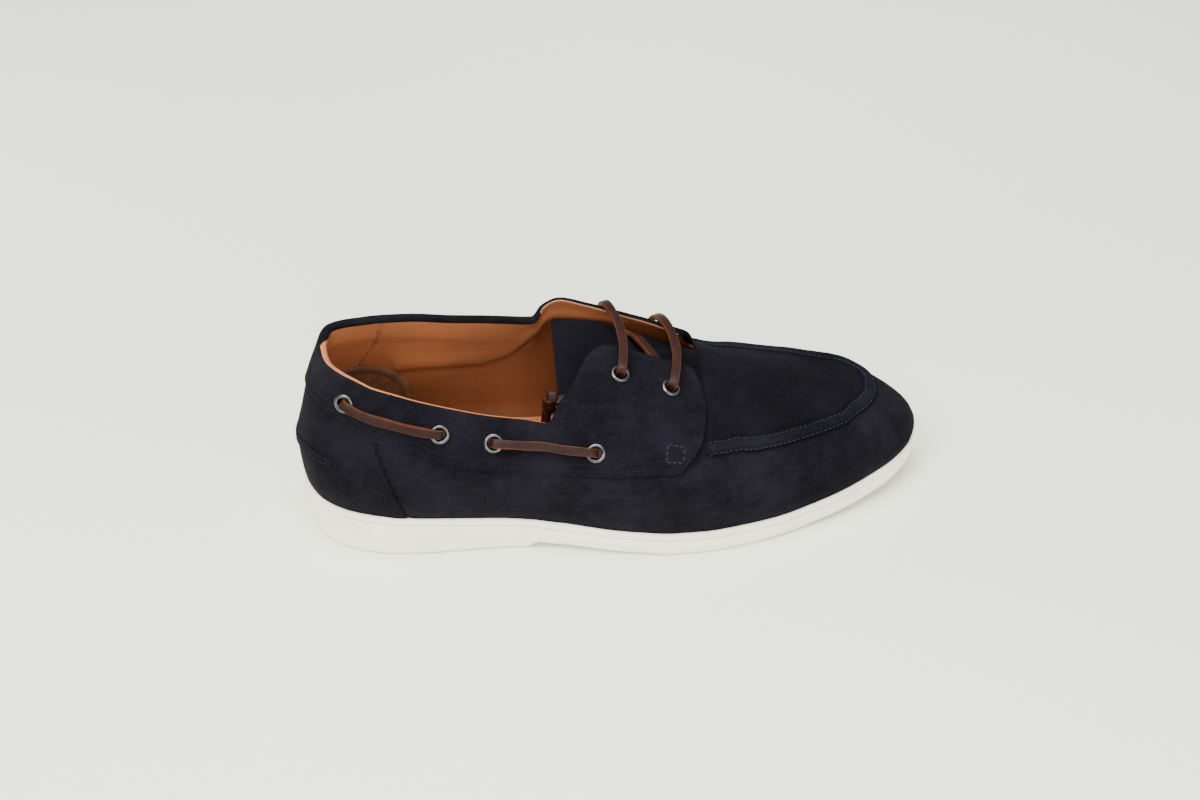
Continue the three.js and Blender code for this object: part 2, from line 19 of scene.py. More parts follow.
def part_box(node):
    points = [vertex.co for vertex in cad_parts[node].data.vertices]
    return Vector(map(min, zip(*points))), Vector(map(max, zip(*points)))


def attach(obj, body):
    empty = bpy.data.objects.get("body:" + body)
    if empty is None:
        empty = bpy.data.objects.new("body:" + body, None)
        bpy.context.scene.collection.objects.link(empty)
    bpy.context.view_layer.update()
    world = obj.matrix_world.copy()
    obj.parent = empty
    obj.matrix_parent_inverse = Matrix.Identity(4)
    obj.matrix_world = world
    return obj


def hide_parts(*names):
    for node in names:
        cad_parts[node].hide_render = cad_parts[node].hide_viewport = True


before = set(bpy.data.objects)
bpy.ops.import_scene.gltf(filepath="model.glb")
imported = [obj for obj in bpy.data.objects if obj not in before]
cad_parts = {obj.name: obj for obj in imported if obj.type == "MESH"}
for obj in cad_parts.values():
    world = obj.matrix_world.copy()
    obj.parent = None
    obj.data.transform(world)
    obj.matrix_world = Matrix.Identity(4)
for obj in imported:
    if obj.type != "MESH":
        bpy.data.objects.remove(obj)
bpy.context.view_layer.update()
LOG = logging.getLogger("boat_shoe")

Array = np.ndarray
MM = 0.001
HEEL_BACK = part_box("sole")[0].x


def place(points: Array) -> Array:
    """Turns the shoe's millimetres into the frame's metres.

    Args:
        points: an array whose last axis is x, y, z.

    Returns:
        The same points in the frame.
    """
    return np.asarray(points, float) * MM + np.array([HEEL_BACK, 0.0, 0.0])


def smooth(value: Array, low: float, high: float) -> Array:
    """Returns 0 below low, 1 above high and a soft step between."""
    share = np.clip((np.asarray(value, float) - low) / (high - low), 0.0, 1.0)
    return share * share * (3.0 - 2.0 * share)


def bell(distance: Array, width: float) -> Array:
    """Returns 1 at distance 0, falling off softly over a width."""
    return np.exp(-((distance / width) ** 2))


def round_edge(distance: Array, radius: float) -> Array:
    """Returns the share of full height at each distance in from an edge rounded with a radius."""
    return np.sqrt(np.clip(1 - (1 - np.clip(distance / radius, 0, 1)) ** 2, 0, 1))


def between(left: Array, right: Array, share: Array) -> Array:
    """Returns what lies at each share of the way from one edge to the other."""
    return left[:, None] * (1 - share) + right[:, None] * share


class Side(Enum):
    """The two sides of the shoe."""

    LATERAL = "lateral"
    MEDIAL = "medial"


# ---------------------------------------------------------------- the shoe's form


def closed_cubic(knots: Sequence[float], values: Sequence[float], period: float) -> Callable[[Array], Array]:
    """Makes a shape-preserving cubic through values, closed on itself.

    Args:
        knots: where the values stand, rising.
        values: one number a knot.
        period: the length after which the curve repeats.

    Returns:
        A function that reads the curve at any array of places.
    """
    k = np.asarray(knots, float)
    v = np.asarray(values, float)
    gap = np.append(np.diff(k), k[0] + period - k[-1])
    rise = (np.roll(v, -1) - v) / gap
    rise_before = np.roll(rise, 1)
    gap_before = np.roll(gap, 1)
    weight_a = 2 * gap + gap_before
    weight_b = gap + 2 * gap_before
    flat = rise * rise_before <= 0
    safe = np.where(flat, 1.0, rise)
    safe_before = np.where(flat, 1.0, rise_before)
    slope = np.where(flat, 0.0, (weight_a + weight_b) / (weight_a / safe_before + weight_b / safe))

    def read(at: Array) -> Array:
        """Reads the curve.

        Args:
            at: places.

        Returns:
            The values there.
        """
        s = np.mod(np.asarray(at, float), period)
        i = np.clip(np.searchsorted(k, s, side="right") - 1, 0, len(k) - 1)
        j = (i + 1) % len(k)
        t = (s - k[i]) / gap[i]
        t2 = t * t
        t3 = t2 * t
        start = (2 * t3 - 3 * t2 + 1) * v[i] + (t3 - 2 * t2 + t) * gap[i] * slope[i]
        return start + (3 * t2 - 2 * t3) * v[j] + (t3 - t2) * gap[i] * slope[j]

    return read


def by_station(rows: Sequence[tuple[float, ...]], column: int) -> Callable[[Array], Array]:
    """Makes a smooth curve of one column of a table, read by its first column.

    Args:
        rows: the table, its first column rising.
        column: which column to read.

    Returns:
        A function of the first column, held level past both ends.
    """
    far = 1000.0
    knots = [row[0] for row in rows]
    values = [row[column] for row in rows]
    curve = closed_cubic(knots + [knots[-1] + far], values + [values[-1]], 3 * far + knots[-1])
    return lambda x: curve(np.clip(x, knots[0], knots[-1]))


# A section's control points: how far in from the feather line, and how high, from the foot to the top.
COLUMNS = (
    "x", "y", "foot", "bulge", "wall_in", "wall_z", "side_in", "side_z", "fore_in", "fore_z", "top_in", "top_z",
)
HEEL_ROW = (0, 0, 25.4, 0.9, -0.6, 50, 2.8, 62, 8, 80, 15.2, 96)
TOE_ROW = (300, 9, 20.5, -0.4, 6.2, 35.2, 19.5, 42, 30, 47.2, 42, 51.5)
LATERAL_ROWS = (
    (8, -21.7, 25.2, 1.4, -1.2, 48, 1.8, 60, 6.5, 77, 12.6, 94.5),
    (25, -34.3, 24.3, 2.0, -2, 46, 0.9, 58, 5.8, 74, 11.4, 91),
    (45, -39.1, 23.0, 2.2, -2.2, 44, 0, 57, 5, 70, 11, 84.5),
    (60, -39.9, 21.8, 2.3, -2.4, 41, -1.3, 53, 3.6, 66, 10.4, 79),
    (75, -39.8, 20.5, 2.4, -2.6, 39, -2, 50, 3, 62, 9.8, 74),
    (90, -39.8, 19.2, 2.4, -2.6, 37.5, -2.2, 48, 2.6, 59.5, 9.3, 69.8),
    (105, -40.9, 17.9, 2.2, -2.4, 36, -1.8, 47, 3, 57.3, 10.4, 66.6),
    (116, -43.0, 17.0, 2.0, -2.2, 35, -1.5, 45.5, 4.8, 56.4, 12.5, 64.2),
    (122, -44.1, 16.5, 2.0, -2.1, 34.5, -1.3, 45, 8, 60, 21, 70.4),
    (128, -45.6, 16.0, 2.0, -2.0, 34, -1.1, 44.5, 12, 63.4, 28, 75.5),
    (133, -46.9, 15.6, 1.9, -1.9, 33.7, -1, 44.5, 15.5, 65.8, 36.5, 79.6),
    (138, -48.2, 15.2, 1.9, -1.8, 33.5, -0.9, 44.5, 19, 67.8, 46, 82.6),
    (143, -49.4, 14.9, 1.8, -1.7, 33.3, -0.8, 44.5, 21, 68.8, 51, 83.4),
    (157, -51.7, 14.0, 1.7, -1.5, 33, -0.4, 44.5, 23.7, 68, 54.7, 79.3),
    (171, -53.5, 13.6, 1.6, -1.3, 32.5, 1.4, 44.5, 25.4, 64.2, 54.4, 74.6),
    (186, -53.3, 13.4, 1.5, -0.8, 31.5, 5.5, 43.5, 25.3, 58.5, 51.3, 69.3),
    (205, -50.5, 13.3, 1.4, 0.4, 31, 12.5, 46, 33, 59, 0, 0),
    (221, -46.8, 13.3, 1.3, 0.8, 31, 13.5, 44.6, 32, 55.5, 0, 0),
    (239, -40.5, 14.1, 1.2, 1.4, 31.5, 13.5, 43.8, 29, 51.4, 0, 0),
    (255, -34.1, 15.5, 1.0, 2.2, 32.5, 14.5, 43.2, 27, 48.6, 0, 0),
    (270, -26.4, 17.3, 0.8, 3, 33.5, 16.6, 42.6, 26.5, 47.6, 0, 0),
    (285, -16.4, 19.0, 0.4, 4.2, 34.2, 17.6, 42.2, 27, 47.3, 0, 0),
    (296, -3.5, 20.2, 0.2, 5, 35, 18.8, 42, 28, 47.2, 0, 0),
)
MEDIAL_ROWS = (
    (8, 21.7, 25.2, 1.4, -1.2, 48, 1.7, 60, 6, 77, 11.8, 95),
    (25, 33.0, 24.3, 2.0, -2, 46, 0.5, 60, 5, 77, 10.8, 92.8),
    (45, 37.0, 23.0, 2.2, -2.2, 44, -0.6, 58, 3.6, 74, 10, 91),
    (60, 38.0, 21.8, 2.4, -2.4, 41, -1.6, 54, 2, 71, 7.6, 88),
    (75, 38.0, 20.5, 2.6, -2.8, 39, -2.4, 51, 0.4, 67, 5.5, 84.6),
    (90, 37.7, 19.2, 3.0, -3.4, 38, -3.2, 50, -0.6, 65, 4.2, 82.6),
    (105, 37.5, 17.9, 3.2, -3.8, 37, -3.6, 49, -1, 64, 3.5, 80.6),
    (113, 38.0, 17.2, 3.2, -3.8, 36.5, -3.6, 49, -0.8, 64, 3.7, 79.8),
    (118.5, 38.5, 16.8, 3.0, -3.6, 36.2, -3.3, 49.5, -0.4, 67, 4, 86.6),
    (126.5, 39.6, 16.2, 2.8, -3.3, 36, -2.8, 50, 0.8, 70, 5.4, 90.2),
    (139, 42.6, 15.2, 2.6, -2.8, 35.5, -1.8, 50, 3.8, 69.5, 9.4, 87.1),
    (158, 47.2, 14.0, 2.2, -2, 34.5, 0.6, 49, 8.5, 67, 17, 81.6),
    (172, 49.8, 13.6, 2.0, -1.4, 34, 2.6, 48, 12.5, 65, 23, 78),
    (186, 51.0, 13.4, 1.8, -0.8, 33.8, 4.6, 47.5, 16, 62.5, 29.5, 74),
    (205, 50.6, 13.3, 1.5, 0.4, 36, 11.6, 54.2, 25, 61.8, 0, 0),
    (221, 50.0, 13.3, 1.3, 1.0, 35.5, 11, 52, 25, 59, 0, 0),
    (239, 48.3, 14.1, 1.1, 1.6, 35, 10, 49.5, 24, 55.4, 0, 0),
    (255, 45.2, 15.5, 0.9, 2.0, 35, 9.6, 47.4, 23, 51.8, 0, 0),
    (270, 40.0, 17.3, 0.7, 2.4, 35.2, 9, 46, 21, 50.4, 0, 0),
    (285, 31.0, 19.0, 0.3, 3.8, 35.4, 11.2, 43.8, 22, 49, 0, 0),
    (294, 22.0, 20.0, 0.1, 4.8, 35.4, 14.6, 42.6, 26, 48, 0, 0),
)
CROWN_ROWS = (
    (118, 13, 84), (140, 13.5, 80.2), (156, 13.5, 76.8), (172, 13, 73.2), (188, 12.5, 69.8),
    (205, 12, 66.2), (222, 11, 61.8), (240, 9.5, 56.8), (258, 8, 51.5),
)


@dataclass
class ShoeForm:
    """The upper's outer face as a function of the way round the outline and the way up the side.

    Attributes:
        heel_fan: the sections of the heel radiate from this x.
        toe_fan: the sections of the toe radiate from this x.
        throat_end: where the facings stop and the vamp closes.
    """

    heel_fan: float = 38.0
    toe_fan: float = 258.0
    throat_end: float = 190.0

    def __post_init__(self) -> None:
        """Builds the curves of the tables' columns."""
        loop = np.array([HEEL_ROW, *LATERAL_ROWS, TOE_ROW, *MEDIAL_ROWS[::-1]], float)
        steps = np.hypot(*(np.roll(loop, -1, 0) - loop)[:, :2].T)
        knots = np.concatenate([[0.0], np.cumsum(steps)[:-1]])
        self.perimeter = float(steps.sum())
        self.toe_at = float(knots[len(LATERAL_ROWS) + 1])
        self.column = {
            name: closed_cubic(knots, loop[:, i], self.perimeter) for i, name in enumerate(COLUMNS)
        }
        self.crown_y = by_station(CROWN_ROWS, 1)
        self.crown_z = by_station(CROWN_ROWS, 2)

    def station(self, x: Array, side: Side) -> Array:
        """Finds how far round the outline one side reaches x.

        Args:
            x: distances from the back of the heel.
            side: which side of the shoe.

        Returns:
            The places along the outline.
        """
        x = np.asarray(x, float)
        low = np.full(x.shape, 0.0 if side is Side.LATERAL else self.perimeter)
        high = np.full(x.shape, self.toe_at)
        for _ in range(44):
            middle = (low + high) / 2
            short = self.column["x"](middle) < x
            low = np.where(short, middle, low)
            high = np.where(short, high, middle)
        return (low + high) / 2

    def reach(self, x: float, side: Side) -> float:
        """Returns the one place where a side reaches x."""
        return float(self.station(np.array([x]), side)[0])

    def x_of(self, at: Array) -> Array:
        """Returns the outline's x at each place."""
        return self.column["x"](at)

    def point(self, at: Array, up: Array) -> Array:
        """Finds points on the outer face.

        Args:
            at: places along the outline.
            up: 0 at the feather line to 1 at the collar, facing edge or crown.

        Returns:
            The points, in the shoe's millimetres.
        """
        at, up = np.broadcast_arrays(np.asarray(at, float), np.asarray(up, float))
        row = {name: curve(at) for name, curve in self.column.items()}
        spine_x = np.clip(row["x"], self.heel_fan, self.toe_fan)
        first = CROWN_ROWS[0]
        share = (spine_x - self.heel_fan) / (first[0] - self.heel_fan)
        spine_y = np.where(spine_x < first[0], share * first[1], self.crown_y(spine_x))
        to_x = spine_x - row["x"]
        to_y = spine_y - row["y"]
        reach = np.hypot(to_x, to_y)
        closed = row["x"] > self.throat_end
        ins = [
            0 * reach, -row["bulge"], row["wall_in"], row["side_in"], row["fore_in"],
            np.where(closed, reach, row["top_in"]),
        ]
        heights = [
            row["foot"], row["foot"] + 0.4 * (row["wall_z"] - row["foot"]), row["wall_z"], row["side_z"],
            row["fore_z"], np.where(closed, self.crown_z(spine_x), row["top_z"]),
        ]
        # Past the top, a closed section mirrors itself so that the crown is level across.
        ins.append(np.where(closed, 2 * ins[5] - ins[4], ins[5]))
        heights.append(np.where(closed, heights[4], heights[5]))
        table = np.stack([np.stack(ins, -1), np.stack(heights, -1)], -1)
        where = np.clip(up, 0.0, 1.0) * 5.0
        i = np.minimum(where.astype(int), 4)
        w = (where - i)[..., None]

        def knot(k: Array) -> Array:
            """Picks one control point of each section."""
            return np.take_along_axis(table, k[..., None, None], -2)[..., 0, :]

        before, start, end, after = knot(np.maximum(i - 1, 0)), knot(i), knot(i + 1), knot(i + 2)
        slope_a = (end - before) / 2
        slope_b = (after - start) / 2
        q = (2 * start - 2 * end + slope_a + slope_b) * w**3
        q = q + (-3 * start + 3 * end - 2 * slope_a - slope_b) * w**2 + slope_a * w + start
        x = row["x"] + to_x / reach * q[..., 0]
        y = row["y"] + to_y / reach * q[..., 0]
        return np.stack([x, y, q[..., 1]], -1)

    def normal(self, at: Array, up: Array) -> Array:
        """Finds the unit normals of the outer face, pointing out.

        Args:
            at: places along the outline.
            up: shares up the side.

        Returns:
            One unit vector a point.
        """
        across = self.point(at + 0.5, up) - self.point(at - 0.5, up)
        rise = self.point(at, np.minimum(up + 0.01, 1.0)) - self.point(at, np.maximum(up - 0.01, 0.0))
        cross = np.cross(across, rise)
        length = np.linalg.norm(cross, axis=-1, keepdims=True)
        flat = np.zeros_like(cross)
        flat[..., 2] = 1.0
        return np.where(length > 1e-6, cross / np.maximum(length, 1e-9), flat)

    def level(self, at: Array, height: Array) -> Array:
        """Finds how far up the side each place reaches a height.

        Args:
            at: places along the outline.
            height: heights above the floor, one a place.

        Returns:
            The shares up the side.
        """
        low = np.zeros_like(at, float)
        high = np.ones_like(at, float)
        for _ in range(30):
            middle = (low + high) / 2
            short = self.point(at, middle)[..., 2] < height
            low = np.where(short, middle, low)
            high = np.where(short, high, middle)
        return (low + high) / 2

    def offset(self, at: Array, up: Array, rise: Array) -> Array:
        """Returns points a distance off the outer face, in millimetres."""
        at, up = np.broadcast_arrays(np.asarray(at, float), np.asarray(up, float))
        return self.point(at, up) + self.normal(at, up) * np.asarray(rise, float)[..., None]


FORM = ShoeForm()


# ---------------------------------------------------------------- meshes


WELD = 1e-6  # points closer than this, in metres, become one
HIDDEN = -1  # the look of a quad that is left out


class Shell:
    """A mesh under construction: points in the shoe's millimetres and faces with a material index."""

    def __init__(self) -> None:
        """Starts with nothing."""
        self.points: list[Array] = []
        self.faces: list[Array] = []
        self.looks: list[Array] = []
        self.tones: list[Array] = []
        self.count = 0

    def add_grid(
        self,
        grid: Array,
        look: int | Array = 0,
        around: bool = False,
        across: bool = False,
        flip: bool = False,
        tone: Array | float = 0.0,
    ) -> None:
        """Adds a sheet of quads.

        Args:
            grid: points of shape rows, columns, 3.
            look: one material index, or one a quad; HIDDEN leaves a quad out.
            around: joins the last row to the first.
            across: joins the last column to the first.
            flip: turns the faces over.
            tone: darkening carried by each point, from 0 to 1, for painted shade and for darker seams and
                pressed lines.
        """
        rows, columns = grid.shape[:2]
        base = self.count + np.arange(rows * columns).reshape(rows, columns)
        if around:
            base = np.vstack([base, base[:1]])
        if across:
            base = np.hstack([base, base[:, :1]])
        quads = np.stack([base[:-1, :-1], base[1:, :-1], base[1:, 1:], base[:-1, 1:]], -1)
        if flip:
            quads = quads[..., ::-1]
        looks = np.broadcast_to(np.asarray(look, int), quads.shape[:2]).reshape(-1)
        shown = looks != HIDDEN
        self.points.append(grid.reshape(-1, 3))
        self.tones.append(np.broadcast_to(np.asarray(tone, float), (rows, columns)).reshape(-1))
        self.faces.append(quads.reshape(-1, 4)[shown])
        self.looks.append(looks[shown])
        self.count += rows * columns

    def build(self, name: str, materials: Sequence[bpy.types.Material]) -> bpy.types.Object:
        """Makes the Blender object.

        Args:
            name: the piece's name.
            materials: its materials, in the order of the face indices.

        Returns:
            The object, smooth shaded.
        """
        mesh = bpy.data.meshes.new(name)
        points = place(np.concatenate(self.points))
        faces = np.concatenate(self.faces)
        keys, first, inverse = np.unique(
            np.round(points / WELD).astype(np.int64), axis=0, return_index=True, return_inverse=True
        )
        inverse = inverse.reshape(-1)
        faces = inverse[faces]
        looks = np.concatenate(self.looks)
        tones = np.concatenate(self.tones)[first]
        rings = []
        kept = []
        for quad, look in zip(faces.tolist(), looks.tolist()):
            ring = [v for i, v in enumerate(quad) if v != quad[i - 1]]
            if len(set(ring)) == len(ring) and len(ring) > 2:
                rings.append(ring)
                kept.append(look)
        mesh.from_pydata(points[first].tolist(), [], rings)
        mesh.polygons.foreach_set("material_index", np.array(kept, np.int32))
        mesh.polygons.foreach_set("use_smooth", np.ones(len(kept), bool))
        shade = mesh.attributes.new("tone", "FLOAT", "POINT")
        shade.data.foreach_set("value", tones.astype(np.float32))
        for material in materials:
            mesh.materials.append(material)
        mesh.update()
        piece = bpy.data.objects.new(name, mesh)
        bpy.context.scene.collection.objects.link(piece)
        return piece


def settle(piece: bpy.types.Object, slot: str, *nodes: str) -> bpy.types.Object:
    """Ties a finished piece to the frame and reports it.

    Args:
        piece: the object.
        slot: a material slot's name; not used.
        nodes: the CAD nodes that it stands for.

    Returns:
        The same object.
    """
    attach(piece, "root")
    if nodes:
        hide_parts(*nodes)
    LOG.info("%s: %d faces", piece.name, len(piece.data.polygons))
    return piece


def run_of(path: Array) -> Array:
    """Measures each point's distance along a path."""
    return np.concatenate([[0.0], np.cumsum(np.linalg.norm(np.diff(path, axis=0), axis=1))])


def read_along(where: Array | float, run: Array, rows: Array) -> Array:
    """Reads rows of numbers at distances along the path that they belong to."""
    return np.stack([np.interp(where, run, rows[:, k]) for k in range(rows.shape[1])], -1)


def tangents(path: Array) -> Array:
    """Returns the unit direction of a path at each point."""
    ahead = np.gradient(path, axis=0)
    return ahead / np.linalg.norm(ahead, axis=1, keepdims=True)


def smooth_path(points: Array, count: int) -> Array:
    """Draws an even centripetal curve through points.

    Args:
        points: the points, of any dimension.
        count: how many points to return.

    Returns:
        Points evenly spaced along the curve.
    """
    p = np.asarray(points, float)
    p = np.vstack([2 * p[0] - p[1], p, 2 * p[-1] - p[-2]])
    knots = np.concatenate([[0.0], np.cumsum(np.sqrt(np.diff(run_of(p))))])
    out = []
    for i in range(1, len(p) - 2):
        t0, t1, t2, t3 = knots[i - 1 : i + 3]
        t = np.linspace(t1, t2, 24, endpoint=False)[:, None]
        a1 = (t1 - t) / (t1 - t0) * p[i - 1] + (t - t0) / (t1 - t0) * p[i]
        a2 = (t2 - t) / (t2 - t1) * p[i] + (t - t1) / (t2 - t1) * p[i + 1]
        a3 = (t3 - t) / (t3 - t2) * p[i + 1] + (t - t2) / (t3 - t2) * p[i + 2]
        b1 = (t2 - t) / (t2 - t0) * a1 + (t - t0) / (t2 - t0) * a2
        b2 = (t3 - t) / (t3 - t1) * a2 + (t - t1) / (t3 - t1) * a3
        out.append((t2 - t) / (t2 - t1) * b1 + (t - t1) / (t2 - t1) * b2)
    dense = np.vstack([*out, p[-2:-1]])
    run = run_of(dense)
    return read_along(np.linspace(0.0, run[-1], count), run, dense)


def transport(path: Array, side: Array, start: int) -> Array:
    """Carries a direction along a path without twist.

    Args:
        path: the points of the path.
        side: the direction at the starting point.
        start: the index of the starting point.

    Returns:
        One unit direction a point, square to the path.
    """
    tangent = tangents(path)
    frames = np.zeros_like(path)

    def square(direction: Array, i: int) -> Array:
        """Takes away the part along the path."""
        d = direction - tangent[i] * float(direction @ tangent[i])
        return d / np.linalg.norm(d)

    frames[start] = square(np.asarray(side, float), start)
    for i in range(start + 1, len(path)):
        frames[i] = square(frames[i - 1], i)
    for i in range(start - 1, -1, -1):
        frames[i] = square(frames[i + 1], i)
    return frames


# ---------------------------------------------------------------- shaders


class Signal:
    """A shader socket that takes part in Python arithmetic."""

    def __init__(self, shader: "Shader", socket: bpy.types.NodeSocket) -> None:
        """Wraps one output socket."""
        self.shader = shader
        self.socket = socket

    def _math(self, operation: str, first: "Signal | float", second: "Signal | float") -> "Signal":
        """Adds one Math node."""
        node = self.shader.node("ShaderNodeMath", {"operation": operation}, {0: first, 1: second})
        return Signal(self.shader, node.outputs[0])

    def __add__(self, other: "Signal | float") -> "Signal":
        """Adds."""
        return self._math("ADD", self, other)

    __radd__ = __add__

    def __sub__(self, other: "Signal | float") -> "Signal":
        """Subtracts."""
        return self._math("SUBTRACT", self, other)

    def __rsub__(self, other: "Signal | float") -> "Signal":
        """Subtracts the signal from a number."""
        return self._math("SUBTRACT", other, self)

    def __mul__(self, other: "Signal | float") -> "Signal":
        """Multiplies."""
        return self._math("MULTIPLY", self, other)

    __rmul__ = __mul__

    def step(self, low: float, high: float) -> "Signal":
        """Steps softly from 0 below low to 1 above high.

        Args:
            low: where the step starts.
            high: where it ends.

        Returns:
            The stepped signal.
        """
        settings = {"interpolation_type": "SMOOTHSTEP"}
        node = self.shader.node("ShaderNodeMapRange", settings, {0: self, 1: low, 2: high})
        return Signal(self.shader, node.outputs[0])


Colour = tuple[float, float, float]


class Shader:
    """One material under construction, around a Principled shader."""

    def __init__(self, name: str) -> None:
        """Starts an empty material with its output joined up.

        Args:
            name: the material's name.
        """
        self.material = bpy.data.materials.new(name)
        self.material.use_nodes = True
        self.tree = self.material.node_tree
        self.tree.nodes.clear()
        self.surface = self.node("ShaderNodeBsdfPrincipled", {}, {})
        output = self.tree.nodes.new("ShaderNodeOutputMaterial")
        self.tree.links.new(self.surface.outputs[0], output.inputs[0])
        self.coordinates = self.node("ShaderNodeTexCoord", {}, {}).outputs["Object"]

    def node(self, kind: str, settings: dict, inputs: dict) -> bpy.types.Node:
        """Adds a node.

        Args:
            kind: the node's type.
            settings: its properties, set first.
            inputs: socket name or index to a value, colour, socket or signal.

        Returns:
            The node.
        """
        node = self.tree.nodes.new(kind)
        for key, value in settings.items():
            setattr(node, key, value)
        for key, value in inputs.items():
            self.feed(node.inputs[key], value)
        return node

    def feed(self, socket: bpy.types.NodeSocket, value: object) -> None:
        """Sets a socket, or links it.

        Args:
            socket: the input.
            value: a number, colour, socket or signal.
        """
        if isinstance(value, Signal):
            self.tree.links.new(value.socket, socket)
        elif isinstance(value, bpy.types.NodeSocket):
            self.tree.links.new(value, socket)
        elif isinstance(value, tuple) and socket.type == "RGBA":
            socket.default_value = (*value, 1.0)
        else:
            socket.default_value = value

    def noise(
        self, size_mm: float, detail: float = 3.0, rough: float = 0.5, stretch: tuple | None = None
    ) -> Signal:
        """Adds a noise whose features are about size_mm across.

        Args:
            size_mm: the size of a feature.
            detail: octaves.
            rough: how strong the fine octaves are.
            stretch: scale of each axis, for grain that runs one way.

        Returns:
            The noise, about 0.5 on average.
        """
        vector: object = self.coordinates
        if stretch is not None:
            vector = self.node("ShaderNodeMapping", {}, {"Vector": vector, "Scale": stretch}).outputs[0]
        inputs = {"Vector": vector, "Scale": 1000.0 / size_mm, "Detail": detail, "Roughness": rough}
        return Signal(self, self.node("ShaderNodeTexNoise", {}, inputs).outputs[0])

    def cells(self, size_mm: float) -> Signal:
        """Adds a Voronoi distance whose cells are size_mm across."""
        inputs = {"Vector": self.coordinates, "Scale": 1000.0 / size_mm}
        return Signal(self, self.node("ShaderNodeTexVoronoi", {}, inputs).outputs["Distance"])

    def tone(self) -> Signal:
        """Reads the tone that the mesh's points carry."""
        node = self.node("ShaderNodeAttribute", {"attribute_name": "tone"}, {})
        return Signal(self, node.outputs["Fac"])

    def blend(self, share: "Signal | float", first: object, second: object) -> bpy.types.NodeSocket:
        """Mixes two colours.

        Args:
            share: how much of the second.
            first: a colour or its socket.
            second: a colour or its socket.

        Returns:
            The mixed colour's socket.
        """
        node = self.node("ShaderNodeMix", {"data_type": "RGBA"}, {})
        self.feed(node.inputs["Factor"], share)
        self.feed(node.inputs[6], first)
        self.feed(node.inputs[7], second)
        return node.outputs[2]

    def bump(self, height: Signal, depth_mm: float, below: object | None = None) -> bpy.types.NodeSocket:
        """Adds a bump of a real depth.

        Args:
            height: the height, from 0 to 1.
            depth_mm: the depth that a height of 1 stands for.
            below: a normal to add to.

        Returns:
            The normal's socket.
        """
        inputs: dict = {"Height": height, "Distance": depth_mm * MM, "Strength": 1.0}
        if below is not None:
            inputs["Normal"] = below
        return self.node("ShaderNodeBump", {}, inputs).outputs[0]

    def dress(self, **inputs: object) -> bpy.types.Material:
        """Feeds the Principled shader.

        Args:
            **inputs: socket names, with _ for a space, and what they get.

        Returns:
            The material.
        """
        for key, value in inputs.items():
            self.feed(self.surface.inputs[key.replace("_", " ")], value)
        return self.material


@dataclass(frozen=True)
class Suede:
    """Napped suede: blotches where the nap lies another way, mottling and fine fibres."""

    name: str = "suede_navy"
    deep: Colour = (0.0018, 0.0016, 0.0028)
    worn: Colour = (0.0112, 0.0100, 0.0154)
    pale: Colour = (0.0360, 0.0330, 0.0430)
    rib: Colour = (0.0048, 0.0058, 0.0090)
    # seam: the dark that the mesh's tone mixes in, for seams and for painted shade
    seam: Colour = (0.0018, 0.0017, 0.0028)
    sheen: float = 0.008
    sheen_tint: Colour = (0.66, 0.62, 0.80)

    def make(self) -> bpy.types.Material:
        """Mixes the finish.

        Returns:
            The material.
        """
        s = Shader(self.name)
        blotch = s.noise(34.0, 4.0, 0.55).step(0.36, 0.68)
        mottle = s.noise(6.5, 4.0, 0.62).step(0.34, 0.70)
        streak = s.noise(3.2, 3.0, 0.6, (0.45, 1.0, 1.3)).step(0.36, 0.74)
        fibre = s.noise(0.55, 3.0, 0.7)
        fleck = s.noise(1.1, 2.0, 0.5).step(0.60, 0.74)
        tone = s.tone()
        lift = blotch * 0.44 + mottle * 0.17 + streak * 0.14 + fibre * 0.40 - 0.10
        base = s.blend(lift, self.deep, self.worn)
        base = s.blend(fleck * fibre * 0.35, base, self.pale)
        # The mesh's tone darkens toward the seam colour for seams and painted shade; a negative tone gives the
        # rib its colour
        base = s.blend(tone.step(0.0, 1.0) * 0.75, base, self.seam)
        base = s.blend((0.0 - tone).step(0.1, 0.8) * 0.55, base, self.rib)
        normal = s.bump(fibre * 0.6 + s.noise(0.32, 2.0, 0.6) * 0.4, 0.26)
        normal = s.bump(s.noise(2.4, 3.0, 0.55), 0.20, normal)
        return s.dress(
            Base_Color=base, Roughness=0.92, Normal=normal, Specular_IOR_Level=0.05,
            Sheen_Weight=self.sheen, Sheen_Roughness=0.45, Sheen_Tint=self.sheen_tint,
        )


@dataclass(frozen=True)
class LiningLeather:
    """Smooth tan leather with pores, faint wrinkles and cloudy handling marks; the mesh's tone paints shade on
    it.
    """

    name: str = "lining_tan"
    light: Colour = (0.420, 0.147, 0.052)
    dark: Colour = (0.225, 0.068, 0.021)
    shade: Colour = (0.060, 0.016, 0.005)
    rough: float = 0.38

    def make(self) -> bpy.types.Material:
        """Mixes the finish.

        Returns:
            The material.
        """
        s = Shader(self.name)
        cloud = s.noise(34.0, 3.0, 0.5).step(0.30, 0.72)
        grain = s.noise(1.3, 3.0, 0.6)
        pores = s.cells(0.62)
        wrinkle = s.noise(7.0, 4.0, 0.55, (0.5, 1.0, 1.6))
        base = s.blend(cloud * 0.42 + grain * 0.12, self.light, self.dark)
        base = s.blend(s.tone() * 0.75, base, self.shade)
        normal = s.bump(pores * 0.5 + grain * 0.5, 0.045)
        normal = s.bump(wrinkle, 0.35, normal)
        return s.dress(
            Base_Color=base, Roughness=grain * 0.14 + cloud * 0.08 + (self.rough - 0.10), Normal=normal,
            Specular_IOR_Level=0.5,
        )


